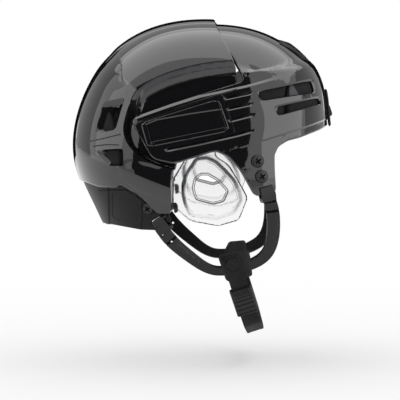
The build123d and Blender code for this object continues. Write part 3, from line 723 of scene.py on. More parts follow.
def side_shell(name, layers, tris, side, sharp=38, masks=None):
    """Closed wall of a side piece, made for the left and mirrored for the right."""
    if side < 0:
        layers, tris = [layer * np.array([1, -1, 1]) for layer in layers], tris[:, ::-1]
    return shell_mesh(name, *layers, tris, masks, sharp)


def along_line(points, line):
    """Distance from points to a run of lines, and how far along it the nearest place lies."""
    best = np.full(len(points), FAR)
    place = np.zeros(len(points))
    run = 0.0
    for start, end in zip(line[:-1], line[1:]):
        way = end - start
        length = math.hypot(*way)
        share = np.clip(((points - start) @ way) / (way @ way), 0, 1)
        off = np.hypot(*(points - start - share[:, None] * way).T)
        closer = off < best
        place = np.where(closer, run + share * length, place)
        best = np.where(closer, off, best)
        run += length
    return best, place


def swept(path, up, section):
    """Vertices and faces of a section carried along a path; the section lies across and up."""
    vertices = []
    for number, point in enumerate(path):
        way = (path[min(number + 1, len(path) - 1)] - path[max(number - 1, 0)]).normalized()
        across = up.cross(way).normalized()
        vertices += [point + across * a + up * b for a, b in section]
    return vertices, tube_faces(len(path), len(section))


def rounded_box(width, height, radius, steps):
    """Closed section with rounded corners."""
    points = []
    for corner, (x, y) in enumerate([(1, 1), (-1, 1), (-1, -1), (1, -1)]):
        for number in range(steps + 1):
            turn = math.radians(90 * corner + 90 * number / steps)
            points.append((x * (width / 2 - radius) + radius * math.cos(turn),
                           y * (height / 2 - radius) + radius * math.sin(turn)))
    return points


def filleted(corners, radii, steps):
    """Points of a run of lines with round corners."""
    corners = np.array(corners, float)
    points = [corners[0]]
    for before, corner, after, radius in zip(corners, corners[1:], corners[2:], radii):
        back = (before - corner) / np.linalg.norm(before - corner)
        on = (after - corner) / np.linalg.norm(after - corner)
        half = math.acos(np.clip(back @ on, -1, 1)) / 2
        reach = radius / math.tan(half)
        middle = corner + (back + on) / np.linalg.norm(back + on) * radius / math.sin(half)
        start, end = corner + back * reach - middle, corner + on * reach - middle
        total = math.acos(np.clip(start @ end / radius ** 2, -1, 1))
        for share in np.arange(steps + 1) / steps:
            blend = (math.sin((1 - share) * total) * start + math.sin(share * total) * end) / math.sin(total)
            points.append(middle + blend)
    points.append(corners[-1])
    return points


# ---------------------------------------------------------------- repeated small parts
PART_SEED = 7


def make_spaced_parts():
    """Geometry node group that sets one small part on every point of a mesh."""
    group = bpy.data.node_groups.new("spaced_parts", "GeometryNodeTree")
    for label, kind, value in (("Points", "Geometry", None), ("Part", "Object", None),
                               ("Seed", "Int", PART_SEED), ("Smallest", "Float", 1.0),
                               ("Largest", "Float", 1.0), ("Finish", "Material", None)):
        socket = group.interface.new_socket(label, in_out="INPUT", socket_type="NodeSocket" + kind)
        if value is not None:
            socket.default_value = value
    group.interface.new_socket("Parts", in_out="OUTPUT", socket_type="NodeSocketGeometry")
    start, end, part, turn, facing_turn, size, copies, real, finish = (group.nodes.new(kind) for kind in (
        "NodeGroupInput", "NodeGroupOutput", "GeometryNodeObjectInfo", "GeometryNodeInputNamedAttribute",
        "FunctionNodeEulerToRotation", "FunctionNodeRandomValue", "GeometryNodeInstanceOnPoints",
        "GeometryNodeRealizeInstances", "GeometryNodeSetMaterial"))
    turn.data_type = "FLOAT_VECTOR"
    turn.inputs["Name"].default_value = "turn"
    size.data_type = "FLOAT"
    link = group.links.new
    link(start.outputs["Points"], copies.inputs["Points"])
    link(start.outputs["Part"], part.inputs["Object"])
    link(part.outputs["Geometry"], copies.inputs["Instance"])
    link([socket for socket in turn.outputs if socket.name == "Attribute"][0], facing_turn.inputs[0])
    link(facing_turn.outputs[0], copies.inputs["Rotation"])
    floats = [socket for socket in size.inputs if socket.type == "VALUE"]
    link(start.outputs["Smallest"], floats[0])
    link(start.outputs["Largest"], floats[1])
    link(start.outputs["Seed"], size.inputs["Seed"])
    link([socket for socket in size.outputs if socket.type == "VALUE"][0], copies.inputs["Scale"])
    link(copies.outputs["Instances"], real.inputs["Geometry"])
    link(real.outputs["Geometry"], finish.inputs["Geometry"])
    link(start.outputs["Finish"], finish.inputs["Material"])
    link(finish.outputs["Geometry"], end.inputs["Parts"])
    return group


spaced_parts = make_spaced_parts()


def set_parts(name, part, places, material, sizes=(1.0, 1.0)):
    """Copies of a small part, one on each place and facing, as one plain mesh."""
    points = bpy.data.meshes.new(name + "_places")
    points.from_pydata([spot for spot, _ in places], [], [])
    turns = points.attributes.new("turn", "FLOAT_VECTOR", "POINT")
    angles = np.array([turn.to_euler()[:] for _, turn in places], np.float32)
    turns.data.foreach_set("vector", angles.ravel())
    holder = linked(name + "_places", points)
    made = holder.modifiers.new("spaced_parts", "NODES")
    made.node_group = spaced_parts
    values = {"Part": part, "Seed": PART_SEED, "Smallest": sizes[0], "Largest": sizes[1], "Finish": material}
    for socket in spaced_parts.interface.items_tree:
        if socket.item_type == "SOCKET" and socket.in_out == "INPUT" and socket.name in values:
            made[socket.identifier] = values[socket.name]
    holder.update_tag()
    graph = bpy.context.evaluated_depsgraph_get()
    graph.update()
    mesh = bpy.data.meshes.new_from_object(holder.evaluated_get(graph), depsgraph=graph)
    holder.modifiers.remove(made)
    bpy.data.objects.remove(holder)
    mesh.name = name
    return paint(linked(name, mesh), material)


def facing(along, down, out):
    """Turn that carries a part's own x, y and z axes onto three directions."""
    turn = Matrix((along, -down, out)).transposed()
    return turn if turn.determinant() > 0 else Matrix((along, down, out)).transposed()


# ---------------------------------------------------------------- rear shell
REAR_OUTLINE = softened([
    (213, -10), (213, 19), (216, 24), (228, 50), (240, 78), (222, 118), (196, 150), (177, 160), (171.5, 180),
    (172, 214), (158, 214), (150, 206), (140, 196), (122, 185), (118, 188), (100, 187.5), (84, 181.5),
    (50, 178), (50, -10),
], share=0.12)
POCKET_OUTLINE = softened([
    (270, 58), (248, 62), (215, 64), (190, 68.5), (165, 76), (148, 84.5), (136, 93.5), (129, 112),
    (124.5, 131), (129, 145), (141, 158), (158, 166.5), (176, 171), (200, 190), (270, 150),
], rounds=4, share=0.22)
VENT_UPPER = softened([(105, 103.5), (126.5, 98.5), (117.5, 131), (96.5, 135)], share=0.08)
VENT_UPPER_HOLE = softened([(113.5, 105.4), (125.4, 101), (117, 129.5), (105, 131.2)], share=0.08)
VENT_LOWER = softened([(97, 151), (124.8, 149.3), (125.5, 167), (111, 166.5)], share=0.08)
VENT_LOWER_HOLE = softened([(105.5, 153.2), (123.8, 151), (124.2, 165.5), (114, 164.2)], share=0.08)
VENTS = ((VENT_UPPER, VENT_UPPER_HOLE, 5.5), (VENT_LOWER, VENT_LOWER_HOLE, 5.0))
REAR_GROOVES = [
    [(91.7, 142.3), (107, 139.5), (121.6, 136)],
    [(96, 147.2), (108, 146), (120, 146.4)],
]
# Lines that the face steps down from, the drop in millimetres and how far it takes to fade
REAR_CREASES = [
    ([(118, 50), (121.5, 59), (123.3, 68), (124, 79), (127.4, 90)], 0.8, 26.0),
    ([(125.6, 177), (131, 184), (139, 190), (150, 194.5), (166, 198)], 0.7, 16.0),
    ([(132, 170), (142, 171), (152, 173.5), (166, 179)], -0.6, 12.0),
]
# Pocket depth in millimetres over the distance in from its edge: down its rear side, and along its top
POCKET_STEEP = [(-0.6, 0), (0, 0.35), (2.0, 7.6), (2.8, 8.2), (30, 7.9)]
POCKET_BEVEL = [(-0.6, 0), (0, 0.5), (5.6, 2.0), (9.0, 8.2), (30, 7.9)]
POCKET_SATIN = [(-0.3, 0), (0.2, 1), (5.4, 1), (5.9, 0)]
POCKET_LEVELS = (-0.6, 0.0, 2.0, 2.8, 5.6, 9.0)
BEVEL_ACROSS, BEVEL_DOWN = (130, 146), (112, 130)
REAR_GROOVE_DROP = [(0.25, 0.9), (0.9, 0)]
CREASE_STEP, CREASE_ENDS, CREASE_FADE = (0, 1.6), (0, 12), 3
CREASE_LEVELS = (-1.6, 0.0, 1.6)
# Crown spine: where it rises and fades out to the side in metres, where it ends in degrees, and its depth
SPINE_EDGE, SPINE_FADE, SPINE_END = (0.0185, 0.0208), (0.030, 0.075), (112, 132)
SPINE_DEPTH = 1.1
SPINE_LEVELS = (18.5, 19.6, 20.8)
REAR_SPAN = (54, 240, 1.0, 1.2)
SHELL_EDGE = 1.3
EDGE_LEVELS = (0.0, 0.2, 0.6, SHELL_EDGE)


def vent_depth(spots, outer, hole, low):
    """How deep a vent's slope lies between its outer outline and its hole, in metres."""
    reach = inside(spots, outer)
    left = -inside(spots, hole)
    share = np.clip(reach, 0, None) / (np.clip(reach, 0, None) + np.clip(left, 0, None) + SOFT)
    return np.where(reach > 0, np.where(left > 0, share, 1.0), 0.0) * (low * MM)


def bevel_share(spots):
    """1 along the pocket's top, where its edge is bevelled, 0 down its rear side."""
    return eased(spots[:, 0], *BEVEL_ACROSS) * (1 - eased(spots[:, 1], *BEVEL_DOWN))


def rear_depth(angle, turn):
    """Depth of the rear shell's face below the skin, in metres."""
    skin = skin_point(angle, turn)
    spots = drawn(skin)
    reach = inside(spots, POCKET_OUTLINE)
    bevel = bevel_share(spots)
    depth = (ramp(reach, POCKET_STEEP) * (1 - bevel) + ramp(reach, POCKET_BEVEL) * bevel) * MM
    for vent in VENTS:
        depth = np.maximum(depth, vent_depth(spots, *vent))
    for groove in REAR_GROOVES:
        depth = grooved(depth, spots, groove, REAR_GROOVE_DROP)
    for line, drop, fade in REAR_CREASES:
        gap, side = line_distance(spots, line)
        away = np.where(side * np.sign(drop) > 0, gap, 0.0)
        near_end = np.minimum(np.hypot(*(spots - line[0]).T), np.hypot(*(spots - line[-1]).T))
        step = eased(away, *CREASE_STEP) * (1 - eased(away, CREASE_FADE, fade))
        depth = np.maximum(depth, step * eased(near_end, *CREASE_ENDS) * abs(drop) * MM)
    out = np.abs(skin[:, 1])
    spine = eased(out, *SPINE_EDGE) * (1 - eased(out, *SPINE_FADE)) * (1 - eased(angle, *SPINE_END))
    depth = depth + spine * SPINE_DEPTH * MM * (depth < MM)
    return depth + edge_roll(inside(spots, REAR_OUTLINE), SHELL_EDGE)


def width_in_mm(angle, turn):
    """How far the skin lies out from the middle plane, in millimetres."""
    return np.abs(skin_point(angle, turn)[:, 1]) * PER_METRE


def make_rear_shell():
    """Rear shell with its pocket, vents, crown spine and creases."""
    sheet = cut_out(fan_sheet(*REAR_SPAN), within(REAR_OUTLINE), EDGE_LEVELS)
    sheet = scored(sheet, within(POCKET_OUTLINE), POCKET_LEVELS)
    sheet = scored(sheet, within(VENT_UPPER, VENT_LOWER), (0.0, 0.6))
    sheet = cut_away(sheet, within(VENT_UPPER_HOLE, VENT_LOWER_HOLE), (0.0, -0.6))
    sheet = scored_lines(sheet, REAR_GROOVES, both_sides(REAR_GROOVE_DROP))
    sheet = scored_lines(sheet, [line for line, _, _ in REAR_CREASES], CREASE_LEVELS)
    angle, turn, tris = scored(sheet, width_in_mm, SPINE_LEVELS)
    depth = rear_depth(angle, turn)
    outer = skin_point(angle, turn, depth)
    inner = skin_point(angle, turn, np.maximum(depth, 0) + WALL)
    spots = drawn(skin_point(angle, turn))
    satin = bevel_share(spots) * ramp(inside(spots, POCKET_OUTLINE), POCKET_SATIN)
    return paint(shell_mesh("rear_shell_skin", outer, inner, tris, {"satin": satin}), gloss_black)


fit(make_rear_shell(), "rear_half", "shell_gloss_black", "rear_shell")


# ---------------------------------------------------------------- front shell
FRONT_OUTLINE = softened([
    (185, -10), (345, -10), (345, 112), (328, 124.8), (320, 130), (300, 138), (287, 141.5), (277.5, 147.5),
    (273.5, 156), (273.5, 168), (275, 193), (254, 197), (240, 172), (228, 158), (215, 152), (175, 165),
    (153, 160), (133, 124), (137, 116.5), (170, 105), (210, 92), (244, 81.5), (234.5, 59), (231, 53),
    (222, 46), (185, 46),
], share=0.12)
FRONT_SLOT_UPPER = softened([(257, 94.5), (262, 92), (283, 87.4), (302, 82.8), (310.6, 81.3), (313.6, 92.6),
                             (298, 95.4), (262, 101.6), (258.5, 99)], share=0.08)
FRONT_SLOT_LOWER = softened([(273.5, 108.6), (316.8, 98.2), (321, 103.9), (277, 116.4)], share=0.08)
BROW_FOLD = [(235, 60), (246, 65.5), (254, 70), (267, 67.5), (280, 62.5), (289, 57.5), (297, 52), (345, 30)]
BROW_TOP = [(225, 84), (245, 78.2), (254, 75.2), (285, 73), (309, 68), (345, 59)]
BAND_LINE = [(137, 118.5), (170, 107), (200, 97.5), (245, 87.5), (266, 81.5), (285, 76.3), (309, 70.8),
             (330, 66)]
ARM_LINES = [
    [(139, 124.6), (170, 113.2), (205, 101), (219, 96.6), (236, 91.4)],
    [(221.6, 97.5), (233.4, 133.5)],
    [(135.6, 126.5), (147.4, 151.5)],
]
ARM_LEDGES = [
    [(168, 150), (200, 143.6), (235, 135.6), (250, 131.5)],
    [(226, 99), (249, 94)],
    [(228, 109.5), (249, 105)],
    [(230, 121), (251, 115.5)],
]
BROW_RIDGE = [(240, 148), (262, 141), (290, 132), (310, 125), (326.5, 118.5), (345, 113)]
# Depth in millimetres over the distance from a line
BAND_DROP = [(-0.9, 1.8), (2.3, 0)]
LEDGE_DROP = [(-0.7, 0), (0, 1.8), (3.2, 0)]
SLOT_ROLL = [(-1.3, 0), (0, 1.1)]
ARM_LINE_DROP = [(0.2, 0.75), (0.85, 0)]
BAND_LEVELS = (-0.9, 0.7, 2.3)
LEDGE_LEVELS = (-0.7, 0.0, 1.6, 3.2)
BAND_START, BAND_END = (0.6, 1), (255, 290)
BROW_LEVELS = (0.33, 0.67)
RIDGE_STEP, RIDGE_FADE = (0, 1.5), (4, 22)
RIDGE_DEPTH = 1.2
FRONT_SPAN = (-36, 170, 1.7, 1.9, 86.6)


def brow_share(spots):
    """0 on the low dome, 1 on the raised band, between the fold and the brow's top line."""
    low, low_side = line_distance(spots, BROW_FOLD)
    high, high_side = line_distance(spots, BROW_TOP)
    share = low / (low + high + SOFT)
    return np.where(low_side < 0, 0.0, np.where(high_side > 0, 1.0, share))


def front_depth(spots):
    """Depth of the front shell's lines, ledges, slot rims and ridge below its face, in metres."""
    fade = eased(brow_share(spots), *BAND_START) * (1 - eased(spots[:, 0], *BAND_END))
    depth = np.maximum(0.0, ramp(signed_gap(spots, BAND_LINE), BAND_DROP) * fade * MM)
    for line in ARM_LEDGES:
        depth = np.maximum(depth, ramp(signed_gap(spots, line), LEDGE_DROP) * MM)
    for line in ARM_LINES:
        depth = grooved(depth, spots, line, ARM_LINE_DROP)
    slots = np.maximum(inside(spots, FRONT_SLOT_UPPER), inside(spots, FRONT_SLOT_LOWER))
    depth = depth + ramp(slots, SLOT_ROLL) * MM
    ridge, side = line_distance(spots, BROW_RIDGE)
    below = np.where(side > 0, eased(ridge, *RIDGE_STEP) * (1 - eased(ridge, *RIDGE_FADE)), 0)
    depth = depth + below * RIDGE_DEPTH * MM
    return depth + edge_roll(inside(spots, FRONT_OUTLINE), SHELL_EDGE)


def make_front_shell():
    """Front shell: low dome, raised brow band with slots, and an arm along each side."""
    sheet = cut_out(fan_sheet(*FRONT_SPAN), within(FRONT_OUTLINE), EDGE_LEVELS)
    sheet = cut_away(sheet, within(FRONT_SLOT_UPPER, FRONT_SLOT_LOWER), (0.0, -1.3))
    sheet = scored(sheet, beside(BAND_LINE), BAND_LEVELS)
    sheet = scored_lines(sheet, ARM_LEDGES, LEDGE_LEVELS)
    sheet = scored_lines(sheet, ARM_LINES, both_sides(ARM_LINE_DROP))
    sheet = scored_lines(sheet, (BROW_FOLD, BROW_TOP))
    sheet = scored(sheet, in_drawing(brow_share), BROW_LEVELS)
    angle, turn, tris = scored(sheet, beside(BROW_RIDGE), RIDGE_STEP)
    spots = drawn(skin_point(angle, turn))
    low = 1 - eased(brow_share(spots), 0, 1)
    radius = skin_radius(angle) * STEP - (skin_radius(angle) - dome_radius(angle)) * STEP * low
    width = HALF_WIDTH - DOME_INSET * low
    depth = front_depth(spots)
    behind = np.maximum(WALL, depth + THIN_WALL)
    outer = fan_point(angle, turn, radius - depth, width - depth)
    inner = fan_point(angle, turn, radius - behind, width - behind)
    return paint(shell_mesh("front_shell_skin", outer, inner, tris), gloss_black)


fit(make_front_shell(), "front_half", "shell_gloss_black", "front_shell")


# ---------------------------------------------------------------- crown insert, brow plate and button
INSERT_BACK, INSERT_FRONT = 0.0795, 0.1075
INSERT_WIDE, INSERT_NARROW = 0.021, 0.013
INSERT_RISE = 0.0032
INSERT_LEAST = 0.0006
INSERT_SLOT = [(86.5, 9.0), (95.5, 9.0)]
INSERT_SLOT_HALF = 3.4
INSERT_SLOT_DROP = [(0, 0), (0.8, 2.4)]
INSERT_SIDES, INSERT_HEEL = (0.006, 0.020), (INSERT_BACK, INSERT_BACK + 0.010)
INSERT_BAR_PITCH, INSERT_BAR_RISE = 0.003, 0.6
INSERT_SPAN = (34, 72, 0.5, 0.8)
TRIM_ROLL = [(0, 1.0), (0.5, 0.35), (1.5, 0)]
TRIM_GAP = 0.0002


def insert_field(angle, turn):
    """Distance in millimetres in from the insert's outline, seen from above."""
    spot = dome_point(angle, turn)
    wide = np.interp(spot[:, 0], [INSERT_BACK, INSERT_FRONT], [INSERT_WIDE, INSERT_NARROW])
    ends = np.minimum(spot[:, 0] - INSERT_BACK, INSERT_FRONT - spot[:, 0])
    return np.minimum(wide - np.abs(spot[:, 1]), ends) / MM


def insert_slots(angle, turn):
    """Distance in millimetres into the insert's two slots, seen from above."""
    spot = dome_point(angle, turn)
    flat = np.stack([spot[:, 0], np.abs(spot[:, 1])], axis=-1) / MM
    return INSERT_SLOT_HALF - line_distance(flat, INSERT_SLOT)[0]


def make_crown_insert():
    """Raised scoop on the dome that falls away to its sides, with two sunk slots and cross bars."""
    sheet = cut_out(fan_sheet(*INSERT_SPAN), insert_field, (0.0, 0.5, 1.5))
    angle, turn, tris = scored(sheet, insert_slots, (0.0, 0.8))
    spot = dome_point(angle, turn)
    rise = INSERT_RISE * (1 - 0.5 * eased(np.abs(spot[:, 1]), *INSERT_SIDES))
    rise = rise * (0.25 + 0.75 * eased(spot[:, 0], *INSERT_HEEL))
    rise = rise - ramp(insert_field(angle, turn), TRIM_ROLL) * MM
    sunk = ramp(insert_slots(angle, turn), INSERT_SLOT_DROP) * MM
    bars = (np.cos(spot[:, 0] / INSERT_BAR_PITCH * 2 * math.pi) > 0.2) * INSERT_BAR_RISE * MM
    rise = np.maximum(rise - sunk + np.where(sunk > 0.0012, bars, 0), INSERT_LEAST)
    layers = dome_point(angle, turn, rise), dome_point(angle, turn, TRIM_GAP)
    return paint(shell_mesh("crown_insert_scoop", *layers, tris, sharp=30), matte_black)


PLATE_HALF = 0.011
PLATE_TOP, PLATE_FOOT = 90.5, 125.5
PLATE_RISE = 2.6
PLATE_ROLL = [(0, 1.0), (0.4, 0.35), (1.2, 0)]
PLATE_SPAN = (20, 45, 0.4, 0.6)
SEAT_DROP = [(0, 0), (0.7, 0.6)]
BUTTON_HEIGHT = (EAR_V - 108) * STEP
BUTTON_SEAT = 7.2
BUTTON_LEAN = math.radians(18)
BUTTON_ANGLE = 34.0
BUTTON_RINGS = [(5.8, 1.0), (5.8, 2.2), (5.3, 3.2), (4.2, 3.8), (2.8, 4.0), (2.4, 3.6), (1.2, 3.5)]
BUTTON_SIDES = 28


def plate_field(angle, turn):
    """Distance in from the brow plate's outline: millimetres to its sides, steps to its top and foot."""
    skin = skin_point(angle, turn)
    height = EAR_V - skin[:, 2] / STEP
    ends = np.minimum(height - PLATE_TOP, PLATE_FOOT - height)
    return np.minimum((PLATE_HALF - np.abs(skin[:, 1])) / MM, ends)


def button_seat(angle, turn):
    """Distance in millimetres into the round step that the button sits in."""
    skin = skin_point(angle, turn)
    return BUTTON_SEAT - np.hypot(skin[:, 1] / MM, (skin[:, 2] - BUTTON_HEIGHT) / MM)


def make_brow_plate():
    """Plate at the middle of the brow, with rolled edges and a step round its button."""
    sheet = cut_out(fan_sheet(*PLATE_SPAN), plate_field, (0.0, 0.4, 1.2))
    angle, turn, tris = scored(sheet, button_seat, (0.0, 0.7))
    rise = PLATE_RISE - ramp(plate_field(angle, turn), PLATE_ROLL)
    rise = (rise - ramp(button_seat(angle, turn), SEAT_DROP)) * MM
    layers = skin_point(angle, turn, -rise), skin_point(angle, turn, -TRIM_GAP)
    return paint(shell_mesh("brow_plate_skin", *layers, tris, sharp=30), matte_black)


def make_brow_button():
    """Low domed button on the brow plate."""
    reach = math.sqrt((skin_radius(BUTTON_ANGLE) * STEP) ** 2 - BUTTON_HEIGHT ** 2)
    angle = math.degrees(math.atan2(BUTTON_HEIGHT, reach))
    start = Vector(skin_point(np.array([angle]), np.array([0.0]))[0])
    out = Vector((math.cos(BUTTON_LEAN), 0, math.sin(BUTTON_LEAN)))
    up = Vector((-out.z, 0, out.x))
    vertices = []
    for radius, rise in BUTTON_RINGS:
        for k in range(BUTTON_SIDES):
            turn = 2 * math.pi * k / BUTTON_SIDES
            vertices.append(start + out * (rise * MM) + Vector((0, math.cos(turn) * radius * MM, 0))
                            + up * (math.sin(turn) * radius * MM))
    faces = tube_faces(len(BUTTON_RINGS), BUTTON_SIDES)
    return mesh_piece("brow_button_cap", [(vertices, faces)], matte_black, 35)


fit(make_crown_insert(), "front_half", "trim_black", "crown_vent_insert")
fit(make_brow_plate(), "front_half", "trim_black", "brow_plate")
fit(make_brow_button(), "front_half", "trim_black", "brow_button")


# ---------------------------------------------------------------- side latches
LATCH_OUTLINE = softened([(142, 125), (218.5, 101.3), (229.5, 133), (149, 149)], share=0.08)
LATCH_CREASE = [(147.5, 126), (158, 121.6), (190, 115.8), (220.8, 111.2)]
LATCH_CREASE_DROP = [(0, 0), (0.9, 0.8)]
# Grooves with their depths in millimetres: front, finger tab and lower edge
LATCH_GROOVES = [
    ([(214.6, 98), (226.4, 136)], 0.7),
    ([(147.5, 121), (155.5, 150)], 0.7),
    ([(153, 144.2), (226, 129.6)], 0.6),
]
LATCH_GROOVE_REACH = (0.25, 0.85)
LATCH_EDGE = 0.9
LATCH_SPAN = (62, 152, 0.8, 0.9)
LATCH_RISE = 0.0015
LATCH_WALL = 0.0024


def latch_depth(spots):
    """Depth of the latch's face below its own top, in metres."""
    depth = edge_roll(inside(spots, LATCH_OUTLINE), LATCH_EDGE)
    for groove, low in LATCH_GROOVES:
        depth = grooved(depth, spots, groove, list(zip(LATCH_GROOVE_REACH, (low, 0))))
    gap, side = line_distance(spots, LATCH_CREASE)
    return depth + np.where(side > 0, ramp(gap, LATCH_CREASE_DROP), 0) * MM


def make_latch(side, name):
    """Cover plate of one side, with its finger tab at the rear and its hinge line at the front."""
    sheet = trimmed(fan_sheet(*LATCH_SPAN), lambda angle, turn: turn * side)
    sheet = cut_out(sheet, within(LATCH_OUTLINE), (0.0, 0.3, LATCH_EDGE))
    near, far = LATCH_GROOVE_REACH
    sheet = scored_lines(sheet, [groove for groove, _ in LATCH_GROOVES], (-far, -near, near, far))
    angle, turn, tris = scored(sheet, beside(LATCH_CREASE), (0.0, 0.9))
    depth = latch_depth(drawn(skin_point(angle, turn)))
    outer = skin_point(angle, turn, depth - LATCH_RISE)
    inner = skin_point(angle, turn, LATCH_WALL - LATCH_RISE)
    return paint(shell_mesh(name, outer, inner, tris), gloss_black)


for side, side_name in SIDES:
    latch = make_latch(side, "latch_plate_" + side_name)
    fit(latch, "latch_" + side_name + "_body", "shell_gloss_black", "side_latch_" + side_name)


# ---------------------------------------------------------------- nape panel
NAPE_OUTLINE = softened([
    (60, 174), (118, 174), (128, 178), (146, 190), (160, 203), (168, 213), (171, 222), (157, 231.5),
    (140, 231), (112, 226), (104, 225), (98, 224), (60, 224),
], share=0.1)
NAPE_DEPTH = 0.0029
NAPE_WALL = 0.0022
NAPE_RIB = [(106.5, 190), (106.5, 228)]
NAPE_PANEL = softened([(111, 192), (131, 192), (141, 204), (140, 224), (111, 220)], share=0.1)
NAPE_SLOT = [(153.0, 223.6), (165.3, 216.0)]
NAPE_SLOT_HALF = 2.1
NAPE_EDGE = 1.0
NAPE_SPAN = (160, 240, 0.8, 1.0)
NAPE_LINES = [[(98, 190.5), (126, 190), (143, 201), (157, 214)], [(142, 203), (141, 230)]]
# Depths in millimetres: over the distance from the rib, into the side field, from a line and from the slot
RIB_RISE = [(1.3, 0.9), (2.2, 0)]
PANEL_DROP = [(0, 0), (0.8, 0.5)]
NAPE_LINE_DROP = [(0.2, 0.6), (0.9, 0)]
SLOT_RIM_DROP = [(NAPE_SLOT_HALF, 0.6), (2.9, 0)]


def make_nape_panel():
    """Nape panel with its rib, flat side fields and strap slots."""
    slot = in_drawing(lambda spots: NAPE_SLOT_HALF - line_distance(spots, NAPE_SLOT)[0])
    sheet = cut_out(fan_sheet(*NAPE_SPAN), within(NAPE_OUTLINE), (0.0, 0.3, NAPE_EDGE))
    sheet = cut_away(sheet, slot, (0.0, -0.8))
    sheet = scored(sheet, within(NAPE_PANEL), (0.0, 0.8))
    sheet = scored(sheet, beside(NAPE_RIB), both_sides(RIB_RISE))
    angle, turn, tris = scored_lines(sheet, NAPE_LINES, both_sides(NAPE_LINE_DROP))
    spots = drawn(skin_point(angle, turn))
    depth = edge_roll(inside(spots, NAPE_OUTLINE), NAPE_EDGE)
    depth = depth - ramp(line_distance(spots, NAPE_RIB)[0], RIB_RISE) * MM
    depth = depth + ramp(inside(spots, NAPE_PANEL), PANEL_DROP) * MM
    for line in NAPE_LINES:
        depth = depth + ramp(line_distance(spots, line)[0], NAPE_LINE_DROP) * MM
    depth = depth + ramp(line_distance(spots, NAPE_SLOT)[0], SLOT_RIM_DROP) * MM
    outer = skin_point(angle, turn, depth + NAPE_DEPTH)
    inner = skin_point(angle, turn, NAPE_DEPTH + NAPE_WALL)
    return paint(shell_mesh("nape_panel_skin", outer, inner, tris), matte_black)


fit(make_nape_panel(), "rear_half", "trim_black", "nape_panel")


# ---------------------------------------------------------------- clear ear guards
GUARD_OUTLINE = softened([
    (188, 146), (215, 144.5), (215.5, 157), (228, 165), (238, 181), (247, 198), (238, 220), (218, 226),
    (190, 221), (172.5, 206), (172.5, 180), (185, 160),
], share=0.1)
GUARD_STEP = softened([
    (196, 159), (207, 158), (216, 162), (226, 171.4), (234, 180.5), (239, 191), (241, 200), (234, 213),
    (216, 219.5), (190, 215.5), (185, 205), (182.6, 195), (182.6, 184), (186, 174),
], share=0.12)
GUARD_HOLE = softened([
    (201.3, 176), (207.5, 176), (216.8, 181.6), (225.4, 191.2), (221.8, 199.6), (213, 202), (197.6, 198),
    (194.5, 188.4), (196.4, 180),
], share=0.06)
GUARD_CLIP = softened([(173.2, 203), (176.8, 202.4), (178.6, 205.5), (178.4, 212), (175, 213.2)], share=0.14)
GUARD_FACE = 0.098
GUARD_WALL = 0.0018
GUARD_RISE = 0.0032
GUARD_PATCH = (168, 250, 141, 229, 1.3)
GUARD_HOLE_LEVELS = (-0.4, -0.9, -1.5, -1.9, -2.3, -3.0)
GUARD_STEP_LEVELS = (-1.1, -0.5, 0.0, 1.2, 1.8, 3.4, 4.2)
# Where the step's painted shade line weakens: toward the foot, and toward the front
SHADE_FADE_FOOT, SHADE_FADE_FRONT = (200, 215), (232, 240)
# Heights over the distance into the step (a share), out from the hole and into the outline (millimetres)
STEP_SHARE = [(-0.5, 0), (0, 0.1), (1.2, 0.6), (1.8, 0.66), (3.4, 0.7), (4.2, 1.0)]
HOLE_LIP = [(0, 1.2), (0.4, 1.6), (1.5, 1.6), (2.3, 0)]
RIM_BEAD = [(0, 0), (0.4, 0.5), (1.4, 0)]
# Painted shade on the clear edges over the same distances, for the dark lines that refraction shows
STEP_PAINTED_SHADE = [(-1.1, 0), (-0.5, 0.95), (1.8, 0.95), (3.4, 0)]
HOLE_PAINTED_SHADE = [(0, 1), (0.4, 1), (0.9, 0.1), (1.5, 0.1), (1.9, 1), (2.3, 1), (3.0, 0)]
RIM_PAINTED_SHADE = [(0, 0.5), (0.5, 0.35), (1.0, 0)]


def make_ear_guard(side, name):
    """Clear guard: a flange, a raised middle and a rimmed hearing hole, with painted shade along its step,
    hole rim and outline.
    """
    sheet = cut_out(flat_sheet(*GUARD_PATCH), within_flat(GUARD_OUTLINE), (0.0, 0.4, 1.4))
    hole = within_flat(GUARD_HOLE)
    sheet = scored(cut_away(sheet, hole), hole, GUARD_HOLE_LEVELS)
    u, v, tris = scored(sheet, within_flat(GUARD_STEP), GUARD_STEP_LEVELS)
    spots = np.stack([u, v], axis=-1)
    rim, step, margin = -inside(spots, GUARD_HOLE), inside(spots, GUARD_STEP), inside(spots, GUARD_OUTLINE)
    rise = ramp(step, STEP_SHARE) * GUARD_RISE
    relief = (ramp(rim, HOLE_LIP) + ramp(margin, RIM_BEAD)) * MM
    outer = side_points(u, v, GUARD_FACE + GUARD_WALL + rise + relief)
    inner = side_points(u, v, GUARD_FACE + rise)
    # Painted shade along the step, the hole's rim and the outline, weaker toward the foot and the front
    edge = ramp(step, STEP_PAINTED_SHADE) * (1 - 0.85 * eased(v, *SHADE_FADE_FOOT)) * (1 - 0.5 * eased(u, *SHADE_FADE_FRONT))
    edge = np.maximum(np.maximum(edge, ramp(rim, HOLE_PAINTED_SHADE)), ramp(margin, RIM_PAINTED_SHADE))
    return paint(side_shell(name, (outer, inner), tris, side, 30, {"edge": edge}), guard_clear)


CLIP_FACE, CLIP_BACK = 0.0014, 0.0012
CLIP_MIDDLE = 207.5
CLIP_RIDGE = 0.4
CLIP_PATCH = (171, 181, 200, 216, 0.8)
CLIP_EDGE = 0.9


